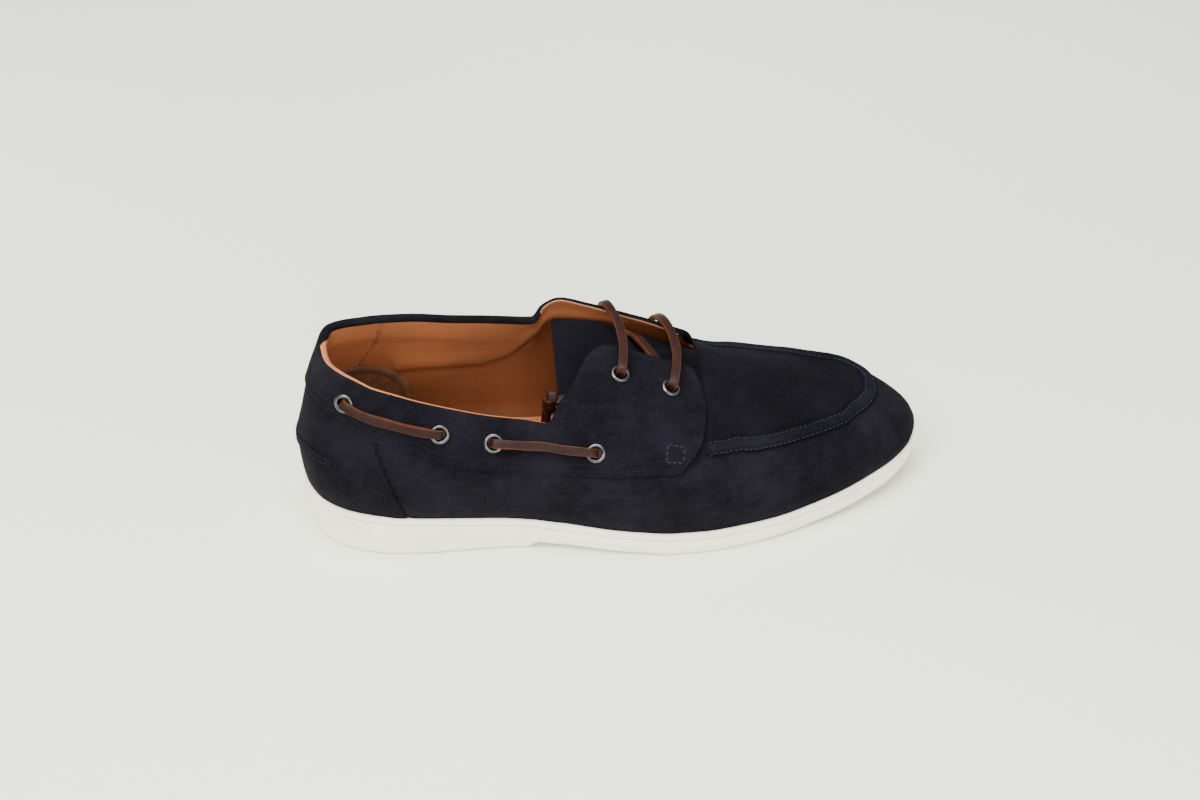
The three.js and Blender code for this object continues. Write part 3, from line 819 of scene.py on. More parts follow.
@dataclass(frozen=True)
class HeelGripLeather:
    """Roughened dark-brown leather of the inner heel patch, flecked with its paler grain."""

    name: str = "heel_grip_brown"
    deep: Colour = (0.078, 0.031, 0.013)
    pale: Colour = (0.215, 0.092, 0.038)
    pressed: Colour = (0.030, 0.012, 0.006)

    def make(self) -> bpy.types.Material:
        """Mixes the finish.

        Returns:
            The material.
        """
        s = Shader(self.name)
        grain = s.noise(0.9, 3.0, 0.7)
        cloud = s.noise(7.0, 3.0, 0.55).step(0.35, 0.7)
        base = s.blend(grain.step(0.42, 0.68) * 0.6 + cloud * 0.35, self.deep, self.pale)
        base = s.blend(s.tone() * 0.8, base, self.pressed)
        return s.dress(Base_Color=base, Roughness=grain * 0.2 + 0.6, Normal=s.bump(grain, 0.14))


@dataclass(frozen=True)
class SoleRubber:
    """Matt white moulded rubber with a fine cast skin and faint floor marks low down."""

    name: str = "sole_rubber"
    clean: Colour = (0.950, 0.940, 0.745)
    floor_marks_and_shade: Colour = (0.480, 0.460, 0.370)

    def make(self) -> bpy.types.Material:
        """Mixes the finish.

        Returns:
            The material.
        """
        s = Shader(self.name)
        split = s.node("ShaderNodeSeparateXYZ", {}, {"Vector": s.coordinates})
        low = 1.0 - Signal(s, split.outputs[2]).step(0.0, 0.006)
        cloud = s.noise(22.0, 4.0, 0.55).step(0.42, 0.75)
        scuff = s.noise(3.0, 3.0, 0.6, (0.35, 1.0, 2.2)).step(0.60, 0.72)
        skin = s.noise(0.45, 2.0, 0.6)
        # The tone is painted shade in the fine line and along the top under the upper; it also roughens the
        # rubber there
        lip = s.tone()
        base = s.blend(cloud * 0.16 + low * scuff * 0.55 + lip * 0.35, self.clean, self.floor_marks_and_shade)
        normal = s.bump(skin, 0.05)
        normal = s.bump(s.noise(1.0, 3.0, 0.7) * lip, 0.35, normal)
        return s.dress(
            Base_Color=base, Roughness=skin * 0.16 + 0.42, Normal=normal,
            Subsurface_Weight=0.06, Subsurface_Radius=(0.004, 0.003, 0.002), Subsurface_Scale=1.0,
        )


@dataclass(frozen=True)
class Gunmetal:
    """Rolled and tumbled eyelet metal, dark with a bright worn edge."""

    name: str = "eyelet_gunmetal"
    bright: Colour = (0.110, 0.115, 0.120)
    dark: Colour = (0.018, 0.020, 0.023)

    def make(self) -> bpy.types.Material:
        """Mixes the finish.

        Returns:
            The material.
        """
        s = Shader(self.name)
        fine = s.noise(0.7, 3.0, 0.6)
        cloud = s.noise(2.6, 2.0, 0.5).step(0.35, 0.7)
        base = s.blend(cloud * 0.5 + s.tone() * 0.5, self.bright, self.dark)
        rough = fine * 0.18 + 0.20
        return s.dress(Base_Color=base, Metallic=1.0, Roughness=rough, Normal=s.bump(fine, 0.015))


@dataclass(frozen=True)
class LaceLeather:
    """Oiled leather thong, finished on its faces or cut through at its edges."""

    name: str = "lace_face"
    light: Colour = (0.0192, 0.0039, 0.0013)
    dark: Colour = (0.0082, 0.0017, 0.0006)
    rough: float = 0.42
    fuzz_mm: float = 0.05

    def make(self) -> bpy.types.Material:
        """Mixes the finish.

        Returns:
            The material.
        """
        s = Shader(self.name)
        along = s.noise(5.0, 3.0, 0.6).step(0.32, 0.70)
        grain = s.noise(0.7, 3.0, 0.65)
        fold = s.noise(1.8, 3.0, 0.55)
        base = s.blend(along * 0.55 + grain * 0.30, self.light, self.dark)
        normal = s.bump(grain, self.fuzz_mm)
        normal = s.bump(fold, 0.10, normal)
        return s.dress(
            Base_Color=base, Roughness=grain * 0.2 + self.rough - 0.08, Normal=normal,
            Specular_IOR_Level=0.15,
        )


@dataclass(frozen=True)
class Thread:
    """Twisted sewing thread."""

    name: str = "thread_navy"
    light: Colour = (0.0095, 0.0092, 0.0150)
    dark: Colour = (0.0015, 0.0015, 0.0030)

    def make(self) -> bpy.types.Material:
        """Mixes the finish.

        Returns:
            The material.
        """
        s = Shader(self.name)
        ply = s.noise(0.35, 2.0, 0.5, (1.0, 1.0, 2.0))
        base = s.blend(ply.step(0.35, 0.65), self.dark, self.light)
        return s.dress(
            Base_Color=base, Roughness=ply * 0.2 + 0.55, Normal=s.bump(ply, 0.08), Specular_IOR_Level=0.12,
        )


@dataclass(frozen=True)
class PaleFloor:
    """Seamless pale studio paper."""

    name: str = "floor_paper"
    near: Colour = (0.750, 0.764, 0.662)
    far: Colour = (0.860, 0.875, 0.765)

    def make(self) -> bpy.types.Material:
        """Mixes the finish.

        Returns:
            The material.
        """
        s = Shader(self.name)
        drift = s.noise(900.0, 1.0, 0.4).step(0.3, 0.7)
        base = s.blend(drift, self.near, self.far)
        return s.dress(
            Base_Color=base, Roughness=0.85, Specular_IOR_Level=0.2, Emission_Color=base,
            Emission_Strength=0.07,
        )


class Finishes:
    """Every material of the shoe, made once."""

    def __init__(self) -> None:
        """Makes them."""
        self.suede = Suede().make()
        self.lining = LiningLeather().make()
        self.grip = HeelGripLeather().make()
        self.rubber = SoleRubber().make()
        self.metal = Gunmetal().make()
        self.lace = LaceLeather().make()
        self.lace_edge = LaceLeather(
            "lace_cut_edge", (0.105, 0.029, 0.0095), (0.040, 0.011, 0.004), 0.60, 0.12
        ).make()
        self.thread = Thread().make()
        self.blue_thread = Thread("thread_blue", (0.0210, 0.0300, 0.0560), (0.0055, 0.0080, 0.0170)).make()
        self.lining_thread = Thread("thread_tan", (0.085, 0.030, 0.013), (0.030, 0.011, 0.006)).make()
        self.floor = PaleFloor().make()


# ---------------------------------------------------------------- the upper

EYELET_SPOTS = {
    Side.LATERAL: ((23, 81.5), (67.3, 67.2), (91, 61), (137, 55), (151, 76.2), (174, 68.6)),
    Side.MEDIAL: ((23, 82), (66, 72), (90, 68), (132, 62), (146, 76), (170, 70)),
}
BAND_RISE = 0.9  # the band and facings stand this far off the shell
HOLE_RADIUS = 3.5  # of the hole that an eyelet fills
HOLE_REACH = 7.0  # how far along its axis a hole goes
STRAP_HALF = 36.5  # half the heel strap's length round the outline


@dataclass(frozen=True)
class EyeletSeat:
    """Where an eyelet sits: its centre on the outer face and the way out."""

    centre: Array
    out: Array

    def over(self, height: float) -> Array:
        """Returns the point on the eyelet's axis at a height over the face."""
        return self.centre + self.out * height


def seat_at(x: float, height: float, side: Side) -> EyeletSeat:
    """Finds the spot of the outer face at a station and a height.

    Args:
        x: the station.
        height: above the floor.
        side: which side.

    Returns:
        The seat.
    """
    at = FORM.station(np.array([float(x)]), side)
    low, high = 0.3, 1.0
    for _ in range(40):
        middle = (low + high) / 2
        if FORM.point(at, np.array([middle]))[0, 2] < height:
            low = middle
        else:
            high = middle
    up = np.array([low])
    return EyeletSeat(FORM.point(at, up)[0], FORM.normal(at, up)[0])


SEATS = {side: [seat_at(x, z, side) for x, z in spots] for side, spots in EYELET_SPOTS.items()}


def punch(grid: Array) -> Array:
    """Finds the quads of a grid that an eyelet's hole goes through.

    Args:
        grid: points of shape rows, columns, 3.

    Returns:
        True for each quad to leave out.
    """
    centre = (grid[:-1, :-1] + grid[1:, :-1] + grid[1:, 1:] + grid[:-1, 1:]) / 4
    cut = np.zeros(centre.shape[:2], bool)
    for seat in [*SEATS[Side.LATERAL], *SEATS[Side.MEDIAL]]:
        d = centre - seat.centre
        along = d @ seat.out
        radial = np.linalg.norm(d - along[..., None] * seat.out, axis=-1)
        cut |= (radial < HOLE_RADIUS) & (np.abs(along) < HOLE_REACH)
    return cut


def arc_up(grid: Array) -> Array:
    """Measures each grid point's distance along its row from the first column."""
    steps = np.linalg.norm(np.diff(grid, axis=1), axis=-1)
    return np.concatenate([np.zeros((grid.shape[0], 1)), np.cumsum(steps, 1)], 1)


def strap_lift(at: Array) -> Array:
    """Returns how far the heel strap climbs from its middle to its ends."""
    return 4.0 * smooth(np.abs(at) / STRAP_HALF, 0.0, 0.6)


def lining_seam(height: Array) -> Array:
    """Returns how far from the back of the heel the lining's two seams stand at each height."""
    return np.interp(height, [62.0, 73.0, 80.0, 92.0], [48.0, 55.5, 58.5, 60.5])


@dataclass
class Upper:
    """The suede upper: shell, collar band with facings, rim, lining and their seams.

    Attributes:
        finishes: the materials.
        lining_depth: the wall's thickness at the facings and the foot.
        collar_depth: its padded thickness at the collar.
        rib_line: the middle of the toe's rib, as places round the outline and shares up the side.
        rib_half: half the rib's width.
        rib_rise: how far the rib stands proud.
        band_low: the height of the collar band's lower seam by station, one table a side.
        front_edge: the facings' front edge, as shares up the side and stations.
    """

    finishes: Finishes
    lining_depth: float = 1.9
    collar_depth: float = 3.6
    rib_line: tuple = (
        (200, 0.720), (208, 0.702), (213, 0.690), (219, 0.662), (226, 0.643), (233, 0.631), (246, 0.634),
        (257, 0.639), (269, 0.646), (282, 0.650), (294, 0.645), (306, 0.645), (318, 0.659), (330, 0.675),
        (345, 0.678), (355, 0.668), (366, 0.660), (376, 0.668), (386, 0.684), (396, 0.698), (406, 0.710),
        (421, 0.722), (437, 0.730), (452, 0.736), (464, 0.740), (474, 0.745),
    )
    rib_half: float = 2.8
    rib_rise: float = 1.6
    band_low: dict[Side, tuple] = field(default_factory=lambda: {
        Side.LATERAL: (
            (-2, 77.5), (7, 77), (21, 73.6), (38, 65), (56, 60), (69, 53.4), (87, 49.3), (106, 47.4),
            (125, 45.8), (143, 46), (162, 46.5), (173, 46), (179, 46.2), (190, 48),
        ),
        Side.MEDIAL: (
            (-2, 77.5), (7, 77), (21, 74.5), (38, 67.5), (56, 62), (69, 58), (87, 55), (106, 53),
            (125, 51.5), (143, 50.5), (162, 50), (179, 50), (190, 51),
        ),
    })
    front_edge: tuple = (
        (0.600, 175.0), (0.642, 179.5), (0.666, 182.6), (0.699, 186.0), (0.739, 188.0), (0.789, 189.4),
        (0.860, 189.8), (0.930, 189.6), (0.965, 188.4), (1.000, 185.2),
    )

    def low_line(self, x: Array, side: Side) -> Array:
        """Returns the height of the band's lower seam."""
        return by_station(self.band_low[side], 1)(x)

    def front_x(self, up: Array) -> Array:
        """Returns the station of the facing's front edge at a share up the side."""
        return np.interp(up, [row[0] for row in self.front_edge], [row[1] for row in self.front_edge])

    def rib_middle(self, at: Array) -> Array:
        """Returns the share up the side of the rib's middle at each place."""
        return by_station(self.rib_line, 1)(at)

    def rows_around(self, step: float) -> tuple[Array, Array]:
        """Places the shell's rows round the outline.

        Args:
            step: the gap between rows, in millimetres.

        Returns:
            The places, and whether each is in the open part.
        """
        # The open rows stop just short of the throat's end and the closed ones start just past it.
        mouth = FORM.throat_end
        lateral_end = FORM.reach(mouth - 0.4, Side.LATERAL)
        medial_end = FORM.reach(mouth - 0.4, Side.MEDIAL)
        lateral = np.linspace(0.0, lateral_end, int(lateral_end / step))
        medial = np.linspace(medial_end, FORM.perimeter, int((FORM.perimeter - medial_end) / step))[:-1]
        xs = np.arange(mouth + 0.6, FORM.toe_fan + 0.01, step)
        left = FORM.station(xs, Side.LATERAL)
        right = FORM.station(xs, Side.MEDIAL)
        fan = np.linspace(left[-1], right[-1], int((right[-1] - left[-1]) / step))[1:-1]
        rows = np.concatenate([lateral, left, fan, right[::-1], medial])
        closed = len(left) + len(fan) + len(right)
        return rows, np.repeat([True, False, True], [len(lateral), closed, len(medial)])

    def crease(self, points: Array) -> Array:
        """Sums the listed soft folds and dents over the outer face.

        Args:
            points: points on the outer face.

        Returns:
            How far the leather moves out at each, in millimetres.
        """
        folds = (
            # x, y, z of the middle; direction of the fold; length, width, depth
            (206, -38, 40, (0.35, 0.2, 0.9), 24, 5.5, -0.45),
            (214, -41, 37, (0.35, 0.2, 0.9), 20, 5.0, 0.35),
            (150, -50, 34, (0.9, 0.0, 0.25), 34, 6.0, -0.45),
            (122, -43, 40, (0.85, 0.0, -0.5), 26, 5.5, 0.40),
            (96, -41, 32, (1.0, 0.0, 0.1), 30, 7.0, -0.45),
            (58, -41, 36, (0.5, 0.0, 0.85), 18, 6.0, 0.45),
            (205, 6, 66, (0.15, 1.0, 0.0), 30, 5.0, -0.40),
            (216, 4, 63, (0.10, 1.0, 0.0), 30, 6.0, 0.30),
            (233, -18, 52, (0.8, -0.5, 0.0), 24, 7.0, -0.35),
            (128, 41, 50, (0.9, 0.0, -0.3), 30, 7.0, -0.50),
            (196, 47, 36, (0.4, -0.1, 0.9), 24, 6.0, -0.45),
        )
        move = np.zeros(points.shape[:-1])
        for x, y, z, way, length, width, depth in folds:
            direction = np.array(way) / np.linalg.norm(way)
            d = points - np.array([x, y, z], float)
            along = d @ direction
            off = np.linalg.norm(d - along[..., None] * direction, axis=-1)
            move += depth * np.exp(-((along / length) ** 2) - (off / width) ** 2)
        wave = np.sin(points[..., 0] / 9.0 + 0.7) * np.sin(points[..., 2] / 7.0 + points[..., 1] / 11.0)
        return move + 0.12 * wave

    def rib_shape(self, gap: Array, x: Array) -> tuple[Array, Array]:
        """Shapes the toe's rib and the valleys beside it.

        Args:
            gap: each point's distance from the rib's middle.
            x: each row's station.

        Returns:
            How far the suede moves out, and its tone: negative on the rib, positive in the valleys beside it,
            where it is painted shade.
        """
        forward = smooth(x, 184.5, 189.5)[:, None]
        ridge = self.rib_rise * (1 - smooth(gap, self.rib_half - 1.8, self.rib_half + 0.7))
        valley = -0.75 * bell(gap - self.rib_half - 1.1, 0.9)
        on_rib = -forward * (1 - smooth(gap, self.rib_half - 0.8, self.rib_half))
        beside = forward * bell(gap - self.rib_half - 0.8, 1.0)
        return forward * (ridge + valley), np.where(gap < self.rib_half, on_rib, beside)

    def counter_shape(self, at: Array, x: Array, height: Array, side: Side) -> tuple[Array, Array]:
        """Shapes the heel counter's front seam and the lap behind it.

        Args:
            at: places along the outline, a row each.
            x: each row's station.
            height: each point's height.
            side: which side.

        Returns:
            How far the suede moves out, and its tone: darker along the seam, painted shade in its groove.
        """
        seam_at = FORM.station(self.counter_seam_x(height), side)
        gap = np.minimum(np.abs(at - seam_at), FORM.perimeter - np.abs(at - seam_at))
        below = 1 - smooth(height, 66.0, 70.0)
        behind = (at < seam_at) if side is Side.LATERAL else (at > seam_at)
        lap = (x < 60)[:, None] * behind * 0.45 * (1 - smooth(gap, 4.0, 12.0)) * smooth(gap, 0.2, 1.2)
        return below * (lap - 0.55 * bell(gap, 0.8)), below * bell(gap, 0.8)

    def shell(self) -> bpy.types.Object:
        """Builds the outer suede from the feather line to the top, with rib and seams.

        Returns:
            The piece.
        """
        rows, open_rows = self.rows_around(1.35)
        ups = np.linspace(0.0, 1.0, 86)
        at, up = rows[:, None], ups[None, :]
        flat = FORM.point(at, up)
        run = arc_up(flat)
        x = FORM.x_of(rows)
        rib = np.array([np.interp(middle, ups, line) for middle, line in zip(self.rib_middle(rows), run)])
        relief, tone = self.rib_shape(np.abs(run - rib[:, None]), x)
        for side in Side:
            more, seam_tone = self.counter_shape(at, x, flat[..., 2], side)
            relief = relief + more
            tone = np.maximum(tone, seam_tone)
        # Painted shade: the toe and the heel darker toward their ends
        ends = 0.27 * smooth(x, 226.0, 258.0) + 0.22 * (1 - smooth(x, 22.0, 62.0))
        # Painted shadow that each facing's front edge casts on the vamp
        ahead = x[:, None] - self.front_x(up)
        shade = 0.85 * bell(np.clip(ahead, 0, None), 4.0) * smooth(up, 0.60, 0.66) * (ahead > -3)
        # The vamp's top, above the rib, painted darker than its sides
        plug = 0.62 * smooth(x, 184.0, 190.0)[:, None] * smooth(run - rib[:, None], 2.0, 5.0)
        # Painted shade along the feather line too, where the upper meets the sole
        for dark in (0.55 * bell(run, 1.2), ends[:, None], shade, plug):
            tone = np.where(tone < 0, tone, np.maximum(tone, dark))
        relief = relief + self.crease(flat) * smooth(run, 1.0, 8.0)
        grid = FORM.offset(at, up, relief)
        grid[~open_rows, -1] = flat[~open_rows, -1]
        body = Shell()
        looks = np.where(punch(np.vstack([grid, grid[:1]])), HIDDEN, 0)
        body.add_grid(grid, looks, around=True, tone=tone)
        return settle(body.build("upper_shell", [self.finishes.suede]), "suede", "upper")

    @staticmethod
    def counter_seam_x(z: Array) -> Array:
        """Returns the station of the heel counter's front seam at each height."""
        return np.interp(z, [24.0, 33.0, 50.0, 64.5], [49.0, 46.4, 41.6, 38.0])

    def band(self) -> bpy.types.Object:
        """Builds the collar band and both facings as one lapped layer of suede.

        Returns:
            The piece.
        """
        body = Shell()
        for side in Side:
            grid, tone = self.band_sheet(side)
            looks = np.where(punch(grid), HIDDEN, 0)
            body.add_grid(grid, looks, flip=side is Side.MEDIAL, tone=tone)
        return settle(body.build("collar_band_and_facings", [self.finishes.suede]), "suede")

    def band_sheet(self, side: Side) -> tuple[Array, Array]:
        """Builds one side of the band.

        Args:
            side: which side.

        Returns:
            Its points and their tones.
        """
        near = np.array([0.0, 0.002, 0.005, 0.010, 0.018, 0.030])
        share_up = np.concatenate([near, np.linspace(0.05, 1.0, 52)])
        along = np.concatenate([np.linspace(0.0, 0.985, 180), 1 - near[::-1] * 0.45])
        start = 0.0 if side is Side.LATERAL else FORM.perimeter
        low_end = 0.604
        up_end = low_end + share_up * (1 - low_end)
        end = FORM.station(self.front_x(up_end), side)
        at = start + (end[None, :] - start) * along[:, None]
        x = FORM.x_of(at)
        low = FORM.level(at[:, :1], self.low_line(x[:, :1], side))
        up = low + share_up[None, :] * (1 - low)
        flat = FORM.point(at, up)
        from_low = arc_up(flat)
        from_front = arc_up(flat[::-1].transpose(1, 0, 2)).T[::-1]
        edge = np.minimum(from_low, from_front)
        round_off = round_edge(edge, 1.0)
        lifted = 0.7 * (1 - smooth(from_front, 1.5, 9.0)) * smooth(x, 168.0, 184.0)
        rise = -0.35 + (BAND_RISE + 0.35 + lifted) * round_off
        groove = -0.28 * bell(edge - 2.4, 0.6)
        groove = groove - 0.20 * bell(from_low - 5.0, 0.6)
        relief = rise + groove + self.crease(flat) * smooth(edge, 0.5, 4.0)
        # Painted shade along the band's edges and in the groove inside them
        tone = np.maximum(0.8 * bell(edge, 0.5), 0.30 * bell(edge - 2.4, 0.7))
        # The facings painted darker toward the front
        tone = np.maximum(tone, 0.26 * smooth(x, 112.0, 150.0))
        return FORM.offset(at, up, relief), tone

    def heel_strap(self) -> bpy.types.Object:
        """Builds the short strap sewn across the back of the heel.

        Returns:
            The piece.
        """
        near = np.array([0.0, 0.02, 0.05, 0.1])
        share = np.concatenate([near, np.linspace(0.16, 0.84, 10), 1 - near[::-1]])
        along = np.concatenate([-1 + near * 0.3, np.linspace(-0.95, 0.95, 70), 1 - near[::-1] * 0.3])
        at = np.broadcast_to(along[:, None] * STRAP_HALF, (len(along), len(share)))
        low = FORM.level(at, 45.2 + strap_lift(at))
        high = FORM.level(at, 50.4 + strap_lift(at))
        up = low + (high - low) * share[None, :]
        flat = FORM.point(at, up)
        across = arc_up(flat)
        width = across[:, -1:]
        from_edge = np.minimum(across, width - across)
        from_end = (1 - np.abs(along))[:, None] * STRAP_HALF
        edge = np.minimum(from_edge, from_end)
        rise = -0.3 + 1.0 * round_edge(edge, 0.9)
        body = Shell()
        # Painted shade along the strap's edges
        body.add_grid(FORM.offset(at, up, rise), tone=0.6 * bell(edge, 0.5))
        return settle(body.build("heel_strap", [self.finishes.suede]), "suede")

    def mouth_rows(self, step: float) -> Array:
        """Places rows along the open edge, from the outer facing's front round the heel to the inner's.

        Args:
            step: the gap between rows, in millimetres.

        Returns:
            Their places, negative on the inner side.
        """
        first = FORM.reach(185.4, Side.LATERAL)
        last = FORM.reach(185.4, Side.MEDIAL) - FORM.perimeter
        return np.linspace(first, last, int((first - last) / step))

    def wall_depth(self, at: Array, run: Array) -> Array:
        """Returns the wall's thickness, padded along the collar.

        Args:
            at: places along the outline.
            run: distances down from the top edge.

        Returns:
            The thicknesses.
        """
        x = FORM.x_of(at)
        collar = 1 - smooth(x, 112.0, 122.0)
        padding = (self.collar_depth - self.lining_depth) * (1 - smooth(run, 9.0, 22.0))
        return self.lining_depth + collar * padding

    def rim(self) -> bpy.types.Object:
        """Builds the rolled top edge: suede over the crest, lining leather inside it.

        Returns:
            The piece.
        """
        rows = self.mouth_rows(1.0)
        at = rows[:, None]
        one = np.ones_like(at)
        top = FORM.point(at, one)[:, 0]
        out = FORM.normal(at, one)[:, 0]
        way = top - FORM.point(at, one * 0.985)[:, 0]
        way /= np.linalg.norm(way, axis=1, keepdims=True)
        depth = self.wall_depth(rows, np.zeros_like(rows))
        x = FORM.x_of(rows)
        facing = smooth(x, 112.0, 120.0)
        outer = top + out * BAND_RISE
        inner = top - out * depth[:, None]
        middle = (outer + inner) / 2
        radius = np.linalg.norm(outer - inner, axis=1) / 2
        angles = np.linspace(0.0, math.pi, 17)
        tall = radius * (1.0 - 0.45 * facing)
        grid = (
            middle[:, None]
            + out[:, None] * (radius[:, None] * np.cos(angles))[..., None]
            + way[:, None] * (tall[:, None] * np.sin(angles))[..., None]
        )
        lateral = (rows > 0)[:, None]
        # The angle round the roll, in degrees, where suede gives way to lining; all_suede is past its end.
        all_suede = 190.0
        heel = np.interp(rows, [-14.0, -4.0, 6.0], [all_suede, 130.0, 60.0])[:, None]
        turn = np.where(lateral, 60.0, all_suede)
        turn = np.where(np.abs(rows)[:, None] < 14, heel, turn)
        turn = np.where(facing[:, None] > 0.5, np.where(lateral, 100.0, 125.0), turn)
        turn = np.where(x[:, None] > np.where(lateral, 150.0, 183.0), all_suede, turn)
        mid_angle = np.degrees((angles[1:] + angles[:-1]) / 2)[None, :]
        looks = (mid_angle > turn[:-1]).astype(int)
        body = Shell()
        # Painted shade on the rim along the facings, heaviest on the inner one, where it also stands for the
        # suede's dark raw edge
        tone = np.broadcast_to(np.where(lateral, 0.1, 0.75) * facing[:, None], grid.shape[:2])
        body.add_grid(grid, looks, flip=True, tone=tone)
        return settle(body.build("collar_rim", [self.finishes.suede, self.finishes.lining]), "suede")

    def lining(self) -> bpy.types.Object:
        """Builds the tan lining from the rim down to the insole, with its seam and folds.

        Returns:
            The piece.
        """
        body = Shell()
        grid, tone = self.lining_sheet(self.mouth_rows(1.6)[:, None], np.linspace(1.0, 0.0, 66)[None, :])
        body.add_grid(grid, flip=True, tone=tone)
        xs = np.arange(185.4, FORM.toe_fan, 4.0)
        left = FORM.station(xs, Side.LATERAL)
        right = FORM.station(xs, Side.MEDIAL)
        fan = np.linspace(left[-1], right[-1], 34)[1:-1]
        toe = np.concatenate([left, fan, right[::-1]])[:, None]
        up = np.linspace(0.97, 0.0, 30)[None, :]
        grid = FORM.offset(toe, up, np.full((len(toe), 30), -self.lining_depth))
        # Painted shade inside the toe
        body.add_grid(grid, tone=0.4)
        return settle(body.build("lining", [self.finishes.lining]), "lining_leather")

    def lining_sheet(self, at: Array, up: Array) -> tuple[Array, Array]:
        """Builds the lining of the open part.

        Args:
            at: places along the outline, a row each.
            up: shares up the side, from the top down.

        Returns:
            The points and their tones.
        """
        flat = FORM.point(at, up)
        run = arc_up(flat)
        depth = self.wall_depth(at, run)
        x = FORM.x_of(at)
        medial = (at < 0) & (x > 44)
        height = flat[..., 2]
        seam = bell(np.abs(at) - lining_seam(height), 0.7) * (height > 55)
        fold_z = np.interp(x, [47, 67, 87, 97, 104, 112, 118], [51, 50, 50, 53, 56.5, 67, 75])
        fold = medial * bell(height - fold_z, 2.0)
        above = medial * bell(height - fold_z - 6.0, 4.5)
        soft = 0.5 * np.sin(flat[..., 0] / 6.5) * np.sin(height / 8.0 + 1.0)
        pull = smooth(run, 2.0, 9.0)
        depth = depth + pull * (above * 1.7 - fold * 0.7 + 0.35 * soft - 0.35 * seam)
        # Darker along the seam, and painted shade in the fold
        tone = np.clip(0.55 * seam + 0.45 * fold, 0, 1)
        # Painted shade, deeper lower down and toward the front of the inner side
        shade = 1.28 * (1 - smooth(height, 18.0, 94.0)) + 0.75 * smooth(x, 58.0, 118.0) * (at < 0)
        tone = np.clip(np.maximum(tone, shade), 0, 1)
        return FORM.offset(at, up, -depth), tone

    def heel_grip(self) -> bpy.types.Object:
        """Builds the dark oval patch on the inside of the heel, with its pressed ring.

        Returns:
            The piece.
        """
        rings = np.linspace(0.0, 1.0, 26)
        angles = np.linspace(0.0, 2 * math.pi, 73)[:-1]
        centre_at, centre_z, wide, high = -33.0, 38.5, 38.0, 24.0
        r, a = np.meshgrid(rings, angles, indexing="ij")
        at = centre_at + wide * r * np.cos(a)
        z = centre_z + high * r * np.sin(a)
        up = FORM.level(at, np.maximum(z, 27.5))  # it ends at the insole
        edge = (1 - r) * high
        depth = self.wall_depth(at, np.full_like(at, 40.0)) + 0.9 * np.sqrt(np.clip(edge / 0.8, 0, 1))
        ring = bell(edge - 3.2, 0.7)
        body = Shell()
        body.add_grid(FORM.offset(at, up, -depth + 0.15 * ring), across=True, tone=ring)
        return settle(body.build("heel_grip", [self.finishes.grip]), "lining_leather")


# ---------------------------------------------------------------- tongue, insole, sole


@dataclass
class Tongue:
    """The suede tongue, level with the vamp in front and cut straight at the back.

    Attributes:
        finishes: the materials.
        thickness: of suede and lining together.
        drop: how far it hangs under the crown line at the back.
        back: the station of its cut back edge.
        edges: station, then y and height of its outer and of its inner edge.
    """

    finishes: Finishes
    thickness: float = 2.0
    drop: float = 3.65
    back: float = 122.0
    edges: tuple = (
        (122, -22, 63, 28.5, 83), (140, -23, 61.5, 29, 80.5), (160, -23, 58.5, 27.5, 73.5),
        (180, -21, 54.5, 26, 66), (200, -16, 52, 26, 57.5),
    )

    def sheet(self, xs: Array, across: int) -> Array:
        """Returns the tongue's top face.

        Args:
            xs: stations.
            across: points from the outer edge to the inner.

        Returns:
            Points of shape stations, across, 3.
        """
        out_y, out_z, in_y, in_z = (by_station(self.edges, k)(xs) for k in range(1, 5))
        mid_y = FORM.crown_y(xs)
        drop = self.drop - (self.drop - 0.5) * smooth(xs, 168.0, 190.0)
        mid_z = FORM.crown_z(xs) - drop
        rows = []
        for i, x in enumerate(xs):
            line = np.array([
                [out_y[i], out_z[i]], [(out_y[i] + mid_y[i]) / 2, out_z[i] + 0.66 * (mid_z[i] - out_z[i])],
                [mid_y[i], mid_z[i]], [in_y[i], in_z[i]],
            ])
            curve = smooth_path(line, across)
            rows.append(np.column_stack([np.full(across, x), curve]))
        return np.array(rows)

    def build(self) -> bpy.types.Object:
        """Builds the tongue with its raw back edge.

        Returns:
            The piece.
        """
        across = 60
        xs = np.concatenate([self.back + np.array([0.0, 0.15, 0.5, 1.2]), np.linspace(124.5, 200.0, 74)])
        top = self.sheet(xs, across)
        run = xs[:, None] - self.back
        share = np.linspace(0, 1, across)[None, :]
        lift = 0.5 * np.sin(xs[:, None] / 8.0 + 1.0) * np.sin(share * 7.0)
        lift = lift + 0.45 * bell(xs[:, None] - 146, 5.0) * np.sin(share * math.pi)
        top[..., 2] += lift * smooth(run, 2, 10) - 0.45 * (1 - np.sqrt(np.clip(run / 0.9, 0, 1)))
        under = top - np.array([0.0, 0.0, self.thickness])
        wrap = np.concatenate([under[::-1], top], 0)
        looks = np.zeros((len(wrap) - 1, across - 1), int)
        looks[: len(xs) - 1] = 1
        body = Shell()
        # Painted shade over the whole tongue, top and underside
        body.add_grid(wrap, looks, tone=0.7)
        piece = body.build("tongue_sheet", [self.finishes.suede, self.finishes.lining])
        return settle(piece, "suede", "tongue")


def sole_bottom(x: Array) -> Array:
    """Finds the tread's height: toe spring in front and the raised arch behind it.

    Args:
        x: stations.

    Returns:
        The heights.
    """
    spring = 8.6 * np.clip((x - 205.0) / 95.0, 0, None) ** 2
    front = np.clip((170.0 - x) / 60.0, 0, 1)
    arch = 3.0 * smooth(x, 103.0, 109.0) * front
    return spring + arch


def outline(at: Array, inset: Array | float) -> Array:
    """Moves the feather line inward, as x and y.

    Args:
        at: places along the outline.
        inset: how far inward, one number or one a place.

    Returns:
        The points.
    """
    at = np.asarray(at, float)
    foot = FORM.point(at, 0 * at)
    edge = FORM.point(at + 0.5, 0 * at) - FORM.point(at - 0.5, 0 * at)
    edge = edge / np.hypot(edge[..., 0], edge[..., 1])[..., None]
    inset = np.asarray(inset, float)
    return np.stack([foot[..., 0] - edge[..., 1] * inset, foot[..., 1] + edge[..., 0] * inset], -1)


